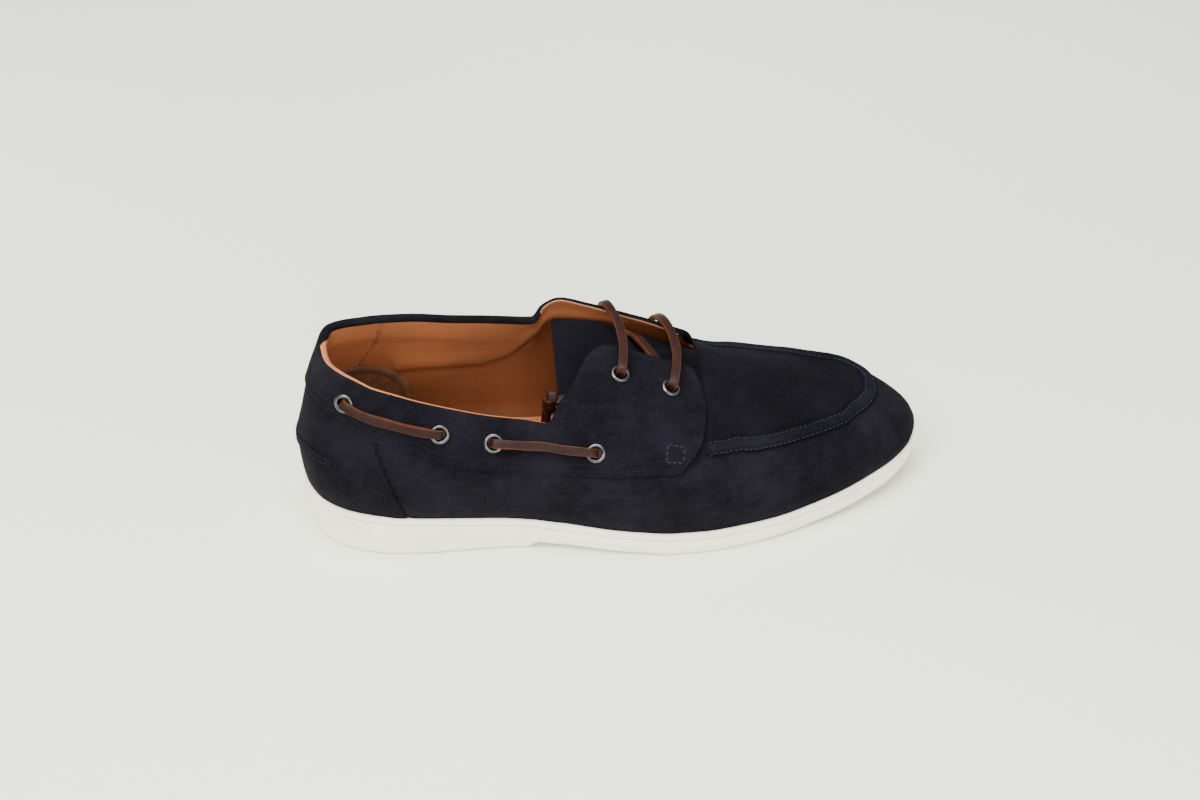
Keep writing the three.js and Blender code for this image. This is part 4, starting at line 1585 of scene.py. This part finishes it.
@dataclass
class Outsole:
    """The white cup sole: side wall with a fine line below its rim, heel breast and siped tread.

    Attributes:
        finishes: the materials.
        lip: how far the rim stands out past the suede.
        rim: the rim's height above the line.
        gap: between the rim and the feather line.
        edge_round: the radius of the tread's edge.
        inset: how far in the tread and the top sheet meet the wall.
    """

    finishes: Finishes
    lip: float = 0.9
    rim: float = 4.0
    gap: float = 0.25
    edge_round: float = 1.9
    inset: float = 3.2

    def build(self) -> bpy.types.Object:
        """Builds the sole.

        Returns:
            The piece.
        """
        count = 720
        at = np.linspace(0, FORM.perimeter, count, endpoint=False)
        foot = FORM.column["foot"](at)
        x = FORM.x_of(at)
        low = sole_bottom(x)
        seat = foot - self.gap
        line = seat - self.rim
        # Each ring: inset from the feather line, height, and tone; the tone is painted shade in the fine line
        # and along the top under the upper.
        rings: list[tuple[float, Array, float]] = [(self.inset, low, 0.0)]
        for turn in np.linspace(0, math.pi / 2, 7):
            inset = 2.1 * (1 - math.sin(turn)) - self.lip * 0.4
            rings.append((inset, low + self.edge_round * (1 - math.cos(turn)), 0.0))
        for share in np.linspace(0.12, 0.92, 7):
            belly = 0.55 * math.sin(share * math.pi)
            rings.append((-self.lip * 0.4 - belly, low + self.edge_round + (line - low - 2.4) * share, 0.0))
        rings += [
            (-self.lip * 0.45, line - 0.35, 0.1), (0.25, line - 0.15, 1.0), (0.25, line + 0.15, 1.0),
            (-self.lip * 0.75, line + 0.4, 0.1),
        ]
        for share in (0.2, 0.5, 0.75):
            rings.append((-self.lip * (0.85 + 0.1 * share), line + self.rim * share, 0.0))
        rings += [
            (-self.lip, seat - 0.55, 0.2), (-self.lip * 0.85, seat - 0.12, 0.5),
            (-self.lip * 0.3, seat + 0.14, 0.9), (0.6, seat + 0.16, 1.0), (self.inset, seat - 0.35, 0.6),
        ]
        wobble = 0.10 * np.sin(at * 0.9) + 0.08 * np.sin(at * 2.3 + 1.0)
        grid = np.zeros((count, len(rings), 3))
        tone = np.zeros((count, len(rings)))
        for k, (inset, z, shade) in enumerate(rings):
            grid[:, k, :2] = outline(at, inset)
            grid[:, k, 2] = z + wobble * shade
            tone[:, k] = shade
        body = Shell()
        body.add_grid(grid, around=True, tone=tone)
        body.add_grid(self.tread(), tone=0.3)
        self.seat_sheet(body)
        return settle(body.build("outsole", [self.finishes.rubber]), "sole_rubber", "sole")

    def tread(self) -> Array:
        """Closes the bottom between both sides of the outline.

        Returns:
            The tread's points.
        """
        spans = ((3.6, 103, 60), (103.5, 109, 12), (110, 296.6, 110))
        xs = np.concatenate([np.linspace(*span) for span in spans])
        left, right = (outline(FORM.station(xs, side), self.inset - 0.1) for side in Side)
        share = np.linspace(0, 1, 24)[None, :, None]
        flat = between(left, right, share)
        z = sole_bottom(flat[..., 0])
        wave = np.sin(flat[..., 0] * 1.1 + 0.8 * np.sin(flat[..., 1] * 0.55))
        inside = smooth(share[..., 0], 0.02, 0.08) * (1 - smooth(share[..., 0], 0.92, 0.98))
        z = z + 0.5 * inside * smooth(wave, 0.75, 0.95)
        return np.concatenate([flat, z[..., None]], -1)[::-1]

    def seat_sheet(self, body: Shell) -> None:
        """Closes the top under the insole.

        Args:
            body: the mesh that gets it.
        """
        xs = np.linspace(3.6, 296.6, 90)
        left, right = (FORM.station(xs, side) for side in Side)
        share = np.linspace(0, 1, 8)[None, :, None]
        flat = between(outline(left, self.inset - 0.1), outline(right, self.inset - 0.1), share)
        foot = between(FORM.column["foot"](left), FORM.column["foot"](right), share[..., 0])
        z = foot - self.gap - 0.35
        body.add_grid(np.concatenate([flat, z[..., None]], -1), tone=0.3)


@dataclass
class Insole:
    """The leather sock inside, dished at the heel and the ball.

    Attributes:
        finishes: the materials.
        inset: from the feather line.
        lift: off the feather line.
        thickness: of the sock.
    """

    finishes: Finishes
    inset: float = 2.75
    lift: float = 0.3
    thickness: float = 2.6

    def build(self) -> bpy.types.Object:
        """Builds the insole.

        Returns:
            The piece.
        """
        xs = np.concatenate([[2.9, 3.1, 3.6], np.linspace(4.6, 294.5, 130), [295.6, 296.1, 296.3]])
        left, right = (FORM.station(xs, side) for side in Side)
        edge_l, edge_r = outline(left, self.inset), outline(right, self.inset)
        near = np.array([0.0, 0.004, 0.012, 0.03, 0.06])
        share = np.concatenate([near, np.linspace(0.1, 0.9, 26), 1 - near[::-1]])[None, :, None]
        flat = between(edge_l, edge_r, share)
        base = between(FORM.column["foot"](left), FORM.column["foot"](right), share[..., 0]) + self.lift
        width = np.linalg.norm(edge_r - edge_l, axis=1)[:, None]
        edge = np.minimum(share[..., 0], 1 - share[..., 0]) * width
        round_off = round_edge(edge, 1.4)
        x = flat[..., 0]
        dish = -0.8 * np.exp(-(((x - 45) / 26) ** 2 + ((share[..., 0] - 0.5) / 0.3) ** 2))
        dish = dish - 0.7 * np.exp(-(((x - 212) / 24) ** 2 + ((share[..., 0] - 0.5) / 0.3) ** 2))
        top = np.concatenate([flat, (base + self.thickness * (0.5 + 0.5 * round_off) + dish)[..., None]], -1)
        under = np.concatenate([flat, base[..., None]], -1)
        body = Shell()
        body.add_grid(np.concatenate([top, under[:, ::-1]], 1), across=True)
        return settle(body.build("insole_sock", [self.finishes.lining]), "lining_leather", "insole")


# ---------------------------------------------------------------- stitching


@dataclass
class Stitching:
    """Rows of thread, each stitch a small capsule lying in its own dimple.

    Attributes:
        finishes: the materials.
        pitch: from one stitch to the next.
        length: of the thread seen between two holes.
        radius: of the thread.
    """

    finishes: Finishes
    pitch: float = 2.5
    length: float = 1.7
    radius: float = 0.24

    def capsule(self) -> Array:
        """Shapes one stitch along x, its ends sunk into their holes.

        Returns:
            Its points, a ring a row.
        """
        turns = np.linspace(0, 2 * math.pi, 7)[:-1]
        shares = np.array([-1.0, -0.9, -0.6, 0.0, 0.6, 0.9, 1.0])
        radii = np.array([0.25, 0.72, 1.0, 1.0, 1.0, 0.72, 0.25]) * self.radius
        sag = -0.30 * shares**2
        y = radii[:, None] * np.cos(turns)
        z = radii[:, None] * np.sin(turns) + sag[:, None]
        x = np.broadcast_to((shares * self.length / 2)[:, None], y.shape)
        return np.stack([x, y, z], -1)

    def along(self, body: Shell, path: Array, normals: Array, seed: int) -> None:
        """Lays stitches along a path.

        Args:
            body: the mesh that gets them.
            path: the seam's points.
            normals: the way out at each point.
            seed: for their small unevenness.
        """
        run = run_of(path)
        total = run[-1]
        count = max(int(total / self.pitch), 1)
        rng = np.random.default_rng(seed)
        shape = self.capsule()
        for k in range(count):
            s = (k + 0.5) * total / count
            middle = read_along(s, run, path)
            out = read_along(s, run, normals)
            x = read_along(min(s + 1.0, total), run, path) - read_along(max(s - 1.0, 0.0), run, path)
            x /= np.linalg.norm(x)
            y = np.cross(out, x)
            y /= np.linalg.norm(y)
            slant = rng.normal(0.0, 0.05)
            x = x * math.cos(slant) + y * math.sin(slant)
            y = np.cross(out, x)
            y /= np.linalg.norm(y)
            z = np.cross(x, y)
            scale = 1.0 + rng.normal(0.0, 0.05)
            points = middle + shape[..., :1] * scale * x + shape[..., 1:2] * y + shape[..., 2:] * z
            body.add_grid(points, across=True)

    def on_face(self, body: Shell, at: Array, up: Array, rise: Array | float, seed: int) -> None:
        """Lays a row of stitches on the outer face.

        Args:
            body: the mesh that gets it.
            at: places along the outline.
            up: shares up the side.
            rise: how far off the outer face.
            seed: for the stitches' small unevenness.
        """
        at, up = np.broadcast_arrays(np.asarray(at, float), np.asarray(up, float))
        path = FORM.offset(at, up, np.broadcast_to(rise, at.shape))
        self.along(body, path, FORM.normal(at, up), seed)

    def by_height(self, body: Shell, side: Side, low: Callable[[Array], Array], span: tuple, rise: float,
                  seed: int) -> None:
        """Lays a row at given heights along one side.

        Args:
            body: the mesh that gets them.
            side: which side.
            low: height of the row by station.
            span: first and last station.
            rise: how far off the outer face.
            seed: for their small unevenness.
        """
        xs = np.linspace(span[0], span[1], 160)
        at = FORM.station(xs, side)
        up = FORM.level(at, low(xs))
        self.on_face(body, at, up, rise, seed)

    def build(self, upper: Upper) -> None:
        """Builds all rows of thread as three joined meshes.

        Args:
            upper: the upper that they are sewn on.
        """
        body = Shell()
        top = BAND_RISE + 0.02
        for side in Side:
            self.by_height(body, side, lambda x, s=side: upper.low_line(x, s) + 2.3, (2.0, 172.0), top, 3)
            self.by_height(body, side, lambda x, s=side: upper.low_line(x, s) + 4.9, (2.0, 171.0), top, 4)
            for gap in (1.7, 3.5):
                ups = np.linspace(0.655, 0.975, 60)
                at = FORM.station(upper.front_x(ups) - gap, side)
                self.on_face(body, at, ups, top, 5)
            self.counter(body, side, 1.7, 6)
            self.flap_edge(body, side, (129.0, 182.0), 2.2, 7)
        self.strap_rows(body)
        settle(body.build("stitching", [self.finishes.thread]), "suede")
        bold = Shell()
        thick = Stitching(self.finishes, pitch=2.5, length=2.15, radius=0.36)
        for side in Side:
            thick.box(bold, side)
        self.rib_rows(bold, upper)
        settle(bold.build("stitching_blue", [self.finishes.blue_thread]), "suede")
        inner = Shell()
        self.lining_rows(inner, upper)
        settle(inner.build("lining_stitching", [self.finishes.lining_thread]), "lining_leather")

    def flap_edge(self, body: Shell, side: Side, span: tuple, gap: float, seed: int) -> None:
        """Lays one row inside a flap's back and top edge.

        Args:
            body: the mesh that gets it.
            side: which side.
            span: first and last station.
            gap: from the edge.
            seed: for the stitches' small unevenness.
        """
        at = FORM.station(np.linspace(span[0], span[1], 130), side)
        ups = np.linspace(0.0, 1.0, 120)
        run = arc_up(FORM.point(at[:, None], ups[None, :]))
        up = np.array([np.interp(line[-1] - gap, line, ups) for line in run])
        self.on_face(body, at, up, BAND_RISE + 0.02, seed)

    def counter(self, body: Shell, side: Side, gap: float, seed: int) -> None:
        """Lays one row along the heel counter's seam.

        Args:
            body: the mesh that gets it.
            side: which side.
            gap: behind the seam.
            seed: for the stitches' small unevenness.
        """
        zs = np.linspace(25.5, 62.0, 50)
        xs = Upper.counter_seam_x(zs) - gap * 0.75
        at = FORM.station(xs, side)
        self.on_face(body, at, FORM.level(at, zs), 0.42, seed)

    def box(self, body: Shell, side: Side) -> None:
        """Lays the box of stitches at the facing's lower front corner.

        Args:
            body: the mesh that gets it.
            side: which side.
        """
        stations = np.array([168.3, 169.8, 177.4, 176.0, 168.3])
        ups = np.array([0.664, 0.712, 0.706, 0.658, 0.664])
        for k in range(4):
            xs = np.linspace(stations[k], stations[k + 1], 12)
            up = np.linspace(ups[k], ups[k + 1], 12)
            self.on_face(body, FORM.station(xs, side), up, BAND_RISE + 0.12, 8 + k)

    def rib_rows(self, body: Shell, upper: Upper) -> None:
        """Lays the rows on both sides of the toe's rib.

        Args:
            body: the mesh that gets them.
            upper: the upper with the rib.
        """
        first = FORM.reach(191.0, Side.LATERAL)
        last = FORM.reach(191.0, Side.MEDIAL)
        at = np.linspace(first, last, 420)
        height = upper.rib_rise * 0.36
        ups = np.linspace(0.0, 1.0, 86)
        run = arc_up(FORM.point(at[:, None], ups[None, :]))
        for shift, seed in ((upper.rib_half - 0.1, 20), (0.1 - upper.rib_half, 21)):
            up = np.array([
                np.interp(np.interp(middle, ups, line) + shift, line, ups)
                for middle, line in zip(upper.rib_middle(at), run)
            ])
            path = FORM.offset(at, up, np.full_like(at, height))
            ways = FORM.normal(at, up)
            # Both ends run on straight, under the facings.
            before = path[0] + 0.45 * (path[0] - path[8])
            after = path[-1] + 0.45 * (path[-1] - path[-9])
            self.along(body, np.vstack([before, path, after]), np.vstack([ways[0], ways, ways[-1]]), seed)

    def strap_rows(self, body: Shell) -> None:
        """Lays the rows on the heel strap and across its ends.

        Args:
            body: the mesh that gets them.
        """
        for height, seed in ((46.5, 30), (49.1, 31)):
            at = np.linspace(-34.0, 34.0, 120)
            self.on_face(body, at, FORM.level(at, height + strap_lift(at)), 0.74, seed)
        for end in (-33.6, 33.6):
            zs = np.linspace(49.8, 53.8, 8)
            at = np.full(8, end)
            self.on_face(body, at, FORM.level(at, zs), 0.74, 32)

    def lining_rows(self, body: Shell, upper: Upper) -> None:
        """Lays the tan rows: beside the lining's back seams and along the insole's edge.

        Args:
            body: the mesh that gets them.
            upper: the upper with the lining.
        """
        for sign in (-1.0, 1.0):
            zs = np.linspace(58.0, 86.0, 40)
            at = sign * (lining_seam(zs) - 1.3)
            up = FORM.level(at, zs)
            run = FORM.point(at, np.ones_like(at))[:, 2] - zs
            path = FORM.offset(at, up, -upper.wall_depth(at, run) - 0.05)
            self.along(body, path, -FORM.normal(at, up), 40)
        for side in Side:
            xs = np.linspace(24.0, 150.0, 120)
            at = FORM.station(xs, side)
            edge = outline(at, 6.2)
            z = FORM.column["foot"](at) + 2.85
            path = np.concatenate([edge, z[:, None]], 1)
            self.along(body, path, np.tile([0.0, 0.0, 1.0], (120, 1)), 41)


# ---------------------------------------------------------------- eyelets and lace


@dataclass
class Eyelets:
    """Twelve rolled metal eyelets.

    Attributes:
        finishes: the materials.
        flange: the outer radius of the ring.
        bore: the radius of its hole.
    """

    finishes: Finishes
    flange: float = 4.6
    bore: float = 2.55

    def build(self) -> None:
        """Builds one eyelet a seat."""
        for side, seats in SEATS.items():
            for i, seat in enumerate(seats):
                body = Shell()
                body.add_grid(self.ring(seat), around=True)
                name = f"{side.value}_{i + 1}"
                piece = body.build(f"eyelet_ring_{name}", [self.finishes.metal])
                settle(piece, "eyelet_metal", f"eyelet_{name}")

    def ring(self, seat: EyeletSeat) -> Array:
        """Turns the eyelet's profile round its axis.

        Args:
            seat: where it sits.

        Returns:
            Its points, a spoke a row.
        """
        middle = (self.flange + self.bore) / 2
        half = (self.flange - self.bore) / 2
        turns = np.linspace(math.pi * 1.08, -0.12 * math.pi, 15)
        top = [(middle + half * math.cos(a), BAND_RISE + 0.15 + 1.0 * math.sin(a)) for a in turns]
        profile = [(self.bore + 0.5, -1.5), (self.bore + 0.05, -1.3), (self.bore + 0.02, -0.6), *top,
                   (self.flange - 0.7, BAND_RISE - 0.25)]
        x = np.cross(seat.out, [0.0, 0.0, 1.0])
        x /= np.linalg.norm(x)
        y = np.cross(seat.out, x)
        around = np.linspace(0, 2 * math.pi, 49)[:-1]
        radius = np.array([p[0] for p in profile])
        height = np.array([p[1] for p in profile])
        spoke = np.cos(around)[:, None] * x + np.sin(around)[:, None] * y
        return seat.centre + spoke[:, None] * radius[None, :, None] + seat.out * height[None, :, None]


@dataclass
class Lacing:
    """The leather lace: side runs, bars over the throat, a crossing and a free end with its knot.

    Attributes:
        finishes: the materials.
        width: the thong's width.
        thick: its thickness.
        end: the free end's line before the knot.
        knot: the knot's middle.
        tail: its line after the knot.
        crossing: the line of the run that crosses the tongue under both flaps.
    """

    finishes: Finishes
    width: float = 4.1
    thick: float = 2.5
    end: tuple = ((140.5, -12.2, 72.6), (136, -15, 71.6), (129, -17, 69.8), (122, -17.6, 68.4))
    knot: tuple = (117, -17.6, 67)
    tail: tuple = ((116.4, -18, 62.8), (115.6, -19.2, 58), (114.6, -21, 52.5))
    crossing: tuple = (
        (157, 28, 74), (160.5, 22, 75.8), (164.5, 13.5, 76), (168.5, 4.5, 74.4), (172, -3, 71.5),
    )

    def section(self) -> tuple[Array, Array]:
        """Draws the thong's cross-section, a rectangle with round corners.

        Returns:
            Its outline as width and height, and each side's material.
        """
        half_w, half_t, corner = self.width / 2, self.thick / 2, 0.5
        ring = []
        for quarter, (sign_w, sign_t) in enumerate(((1, 1), (-1, 1), (-1, -1), (1, -1))):
            for turn in np.linspace(0, math.pi / 2, 4):
                a = turn + quarter * math.pi / 2
                ring.append((
                    sign_w * (half_w - corner) + corner * math.cos(a),
                    sign_t * (half_t - corner) + corner * math.sin(a),
                ))
        ring = np.array(ring)
        middle = (ring + np.roll(ring, -1, 0)) / 2
        cut = np.abs(middle[:, 0]) > half_w - 0.22
        return ring, cut.astype(int)

    def thong(self, body: Shell, points: Array, flat: Array, count: int, start: int, roll: float = 0.0,
              closed: bool = False) -> Array:
        """Sweeps the thong along a path.

        Args:
            body: the mesh that gets it.
            points: the path's points.
            flat: the way the broad face looks at the starting point.
            count: rings along the path.
            start: the ring where flat is given.
            roll: how far it turns over along its length, in radians.
            closed: puts caps on both ends.

        Returns:
            The centreline.
        """
        path = smooth_path(points, count)
        up = transport(path, flat, start)
        side = np.cross(tangents(path), up)
        angle = (np.arange(count) - start)[:, None] / count * roll
        angle = angle + 0.09 * np.sin(np.linspace(0, 7.0, count))[:, None]
        broad = side * np.cos(angle) + up * np.sin(angle)
        high = up * np.cos(angle) - side * np.sin(angle)
        ring, cut = self.section()
        wave = 1.0 + 0.035 * np.sin(np.linspace(0, 19.0, count))[:, None, None]
        grid = path[:, None] + wave * (ring[None, :, :1] * broad[:, None] + ring[None, :, 1:] * high[:, None])
        body.add_grid(grid, cut[None, :], across=True, flip=True)
        if closed:
            for i, turn in ((0, False), (count - 1, True)):
                cap = np.stack([grid[i], np.broadcast_to(path[i], grid[i].shape)])
                body.add_grid(cap, 1, across=True, flip=turn)
        return path

    def side_run(self, side: Side, first: int, label: str) -> None:
        """Builds one run of lace between two eyelets of a side.

        Args:
            side: which side.
            first: the first eyelet's number, from 0 at the heel.
            label: the end of the piece's name.
        """
        a, b = SEATS[side][first], SEATS[side][first + 1]
        points = [a.over(-1.5), a.over(-0.3), a.over(2.3)]
        xa, za = EYELET_SPOTS[side][first]
        xb, zb = EYELET_SPOTS[side][first + 1]
        for share in (0.14, 0.32, 0.5, 0.68, 0.86):
            middle = 4 * share * (1 - share)
            spot = seat_at(xa + (xb - xa) * share, za + (zb - za) * share - 0.4 * middle, side)
            points.append(spot.over(1.8 + 2.3 - 1.1 * middle))
        points += [b.over(2.3), b.over(-0.3), b.over(-1.5)]
        spot = seat_at((xa + xb) / 2, (za + zb) / 2, side)
        body = Shell()
        self.thong(body, np.array(points), spot.out, 110, 55)
        piece = body.build(f"lace_run_{side.value}_{label}", [self.finishes.lace, self.finishes.lace_edge])
        settle(piece, "lace_leather", f"lace_{side.value}_{label}")

    def bar(self, index: int, edge_x: float, label: str) -> None:
        """Builds one bar over the throat, from the outer flap's eyelet to the inner flap's.

        Args:
            index: the eyelets' number, from 0 at the heel.
            edge_x: the station where it passes over the inner flap's edge.
            label: the end of the piece's name.
        """
        a, b = SEATS[Side.LATERAL][index], SEATS[Side.MEDIAL][index]
        edge_at = FORM.station(np.array([edge_x]), Side.MEDIAL)
        edge = FORM.point(edge_at, np.ones(1))[0]
        high = edge + np.array([0.0, 0.0, 3.0])
        start = a.over(4.0)
        rise = np.array([3.5, 0.0, 1.8])
        near = start + (high - start) * 0.33 + rise * 0.9
        far = start + (high - start) * 0.66 + rise * 0.9
        beyond = b.over(5.2) + (high - b.over(5.2)) * 0.35 + np.array([0.0, 1.8, 0.0])
        points = np.array([
            a.over(-1.4), a.over(-0.3), a.over(2.0), start, near, far, high, beyond, b.over(3.0), b.over(0.0),
            b.over(-1.4),
        ])
        body = Shell()
        across = high - start
        flat = np.cross(np.array([1.0, 0.0, 0.0]), across)
        self.thong(body, points, flat, 130, 60, roll=0.25)
        piece = body.build(f"lace_over_throat_{label}", [self.finishes.lace, self.finishes.lace_edge])
        settle(piece, "lace_leather", f"lace_bar_{label}")

    def free_end(self) -> None:
        """Builds the free end with its knot and tail, the shoe's one loose cord."""
        knot = np.array(self.knot, float)
        route = np.array([*self.end, knot + [0, 0, 0.6], *self.tail], float)
        body = Shell()
        path = self.thong(body, route, np.array([0.2, 0.2, 1.0]), 150, 20, roll=1.2, closed=True)
        handled = [self.finishes.lace, self.finishes.lace]  # even its cut edges have worn dark
        cord = settle(body.build("lace_free_end", handled), "lace_leather", "lace_end", "lace_tail")
        wrap = Shell()
        turns = np.linspace(0, 2 * math.pi * 1.02, 40)
        for tilt, radius, lift, begin in ((0.20, 1.75, 0.9, 2.2), (-0.16, 1.85, -2.3, 4.6)):
            angle = turns + begin
            loop = np.stack([
                knot[0] + 0.6 + radius * np.cos(angle),
                knot[1] + 0.2 + radius * np.sin(angle),
                knot[2] + lift + radius * np.sin(angle) * tilt + 0.5 * np.sin(turns / 2),
            ], -1)
            outward = np.array([math.cos(angle[7]), math.sin(angle[7]), 0.0])
            self.thong(wrap, loop[::3], outward, 60, 10, closed=True)
        over = np.stack([
            knot[0] + 1.8 + 0.7 * np.cos(turns), knot[1] + 0.6 + 1.5 * np.sin(turns),
            knot[2] + 1.6 + 3.6 * np.cos(turns),
        ], -1)
        outward = np.array([0.0, math.sin(turns[7]), math.cos(turns[7])])
        self.thong(wrap, over[::3], outward, 60, 10, closed=True)
        piece = settle(wrap.build("lace_end_knot", handled), "lace_leather", "lace_knot")
        route = place(path)

    def cross_run(self) -> None:
        """Builds the run that crosses under the flaps, seen in the gap between them."""
        body = Shell()
        self.thong(body, np.array(self.crossing, float), np.array([0.15, 0.2, 1.0]), 60, 30, closed=True)
        settle(body.build("lace_crossing", [self.finishes.lace, self.finishes.lace_edge]), "lace_leather")

    def build(self) -> None:
        """Builds every run of lace."""
        self.free_end()
        self.cross_run()
        for side in Side:
            self.side_run(side, 0, "back")
            self.side_run(side, 2, "mid")
        self.bar(4, 149.0, "rear")
        self.bar(5, 176.0, "front")


# ---------------------------------------------------------------- studio


@dataclass
class Studio:
    """The camera, the pale floor and the soft light.

    Attributes:
        elevation: how steeply the camera looks down, in radians.
        yaw: how far it looks toward the toe.
        roll: its turn about its own axis.
        spot: where it stands, in the shoe's millimetres.
        lens: its focal length on a 36 mm sensor.
    """

    elevation: float = 0.6458
    yaw: float = 0.0818
    roll: float = -0.0189
    spot: tuple = (96.263, -565.588, 481.452)
    lens: float = 44.80

    def camera(self) -> None:
        """Places the camera."""
        s, c = math.sin(self.yaw), math.cos(self.yaw)
        down, level = math.sin(self.elevation), math.cos(self.elevation)
        ahead = Vector((s * level, c * level, -down))
        right = Vector((c, -s, 0.0))
        up = Vector((s * down, c * down, level))
        x = right * math.cos(self.roll) + up * math.sin(self.roll)
        y = up * math.cos(self.roll) - right * math.sin(self.roll)
        data = bpy.data.cameras.new("camera")
        data.lens = self.lens
        data.sensor_width = 36.0
        camera = bpy.data.objects.new("camera", data)
        bpy.context.scene.collection.objects.link(camera)
        turn = Matrix((x, y, -ahead)).transposed().to_4x4()
        camera.matrix_world = Matrix.Translation(Vector(place(self.spot))) @ turn
        bpy.context.scene.camera = camera

    def lamp(self, name: str, at: tuple, size: tuple, watts: float, colour: Colour) -> None:
        """Hangs one soft lamp that faces the shoe.

        Args:
            name: its name.
            at: where it hangs, in metres.
            size: its width and depth in metres.
            watts: its power.
            colour: its light.
        """
        data = bpy.data.lights.new(name, "AREA")
        data.shape = "RECTANGLE"
        data.size, data.size_y = size
        data.energy = watts
        data.color = colour
        lamp = bpy.data.objects.new(name, data)
        bpy.context.scene.collection.objects.link(lamp)
        lamp.location = at
        aim = Vector((0.1, 0.0, 0.03)) - Vector(at)
        lamp.rotation_mode = "QUATERNION"
        lamp.rotation_quaternion = aim.to_track_quat("-Z", "Y")

    def build(self, floor_look: bpy.types.Material) -> None:
        """Builds the floor, the lamps and the sky's fill.

        Args:
            floor_look: the floor's material.
        """
        mesh = bpy.data.meshes.new("floor")
        half = 4.0
        corners = [(-half, -half, 0), (half, -half, 0), (half, half, 0), (-half, half, 0)]
        mesh.from_pydata(corners, [], [(0, 1, 2, 3)])
        mesh.materials.append(floor_look)
        floor = bpy.data.objects.new("floor", mesh)
        bpy.context.scene.collection.objects.link(floor)
        self.lamp("softbox_top", (0.0, -0.15, 1.9), (1.5, 1.1), 62.0, (1.0, 0.99, 0.96))
        self.lamp("softbox_left", (-1.1, -0.8, 1.7), (1.0, 1.0), 46.0, (1.0, 0.985, 0.96))
        self.lamp("softbox_front", (0.4, -1.9, 0.9), (1.8, 1.0), 34.0, (0.99, 0.99, 1.0))
        world = bpy.data.worlds.new("fill")
        bpy.context.scene.world = world
        world.use_nodes = True
        sky = world.node_tree.nodes["Background"]
        sky.inputs[0].default_value = (0.93, 0.97, 0.95, 1.0)
        sky.inputs[1].default_value = 0.85


def main() -> None:
    """Builds the shoe piece by piece."""
    logging.basicConfig(level=logging.INFO, format="%(name)s: %(message)s")
    studio = Studio()
    studio.camera()
    finishes = Finishes()
    Lacing(finishes).build()
    studio.build(finishes.floor)
    upper = Upper(finishes)
    upper.shell()
    upper.band()
    upper.heel_strap()
    upper.rim()
    upper.lining()
    upper.heel_grip()
    Tongue(finishes).build()
    Insole(finishes).build()
    Outsole(finishes).build()
    Stitching(finishes).build(upper)
    Eyelets(finishes).build()


if __name__ == "__main__":
    main()
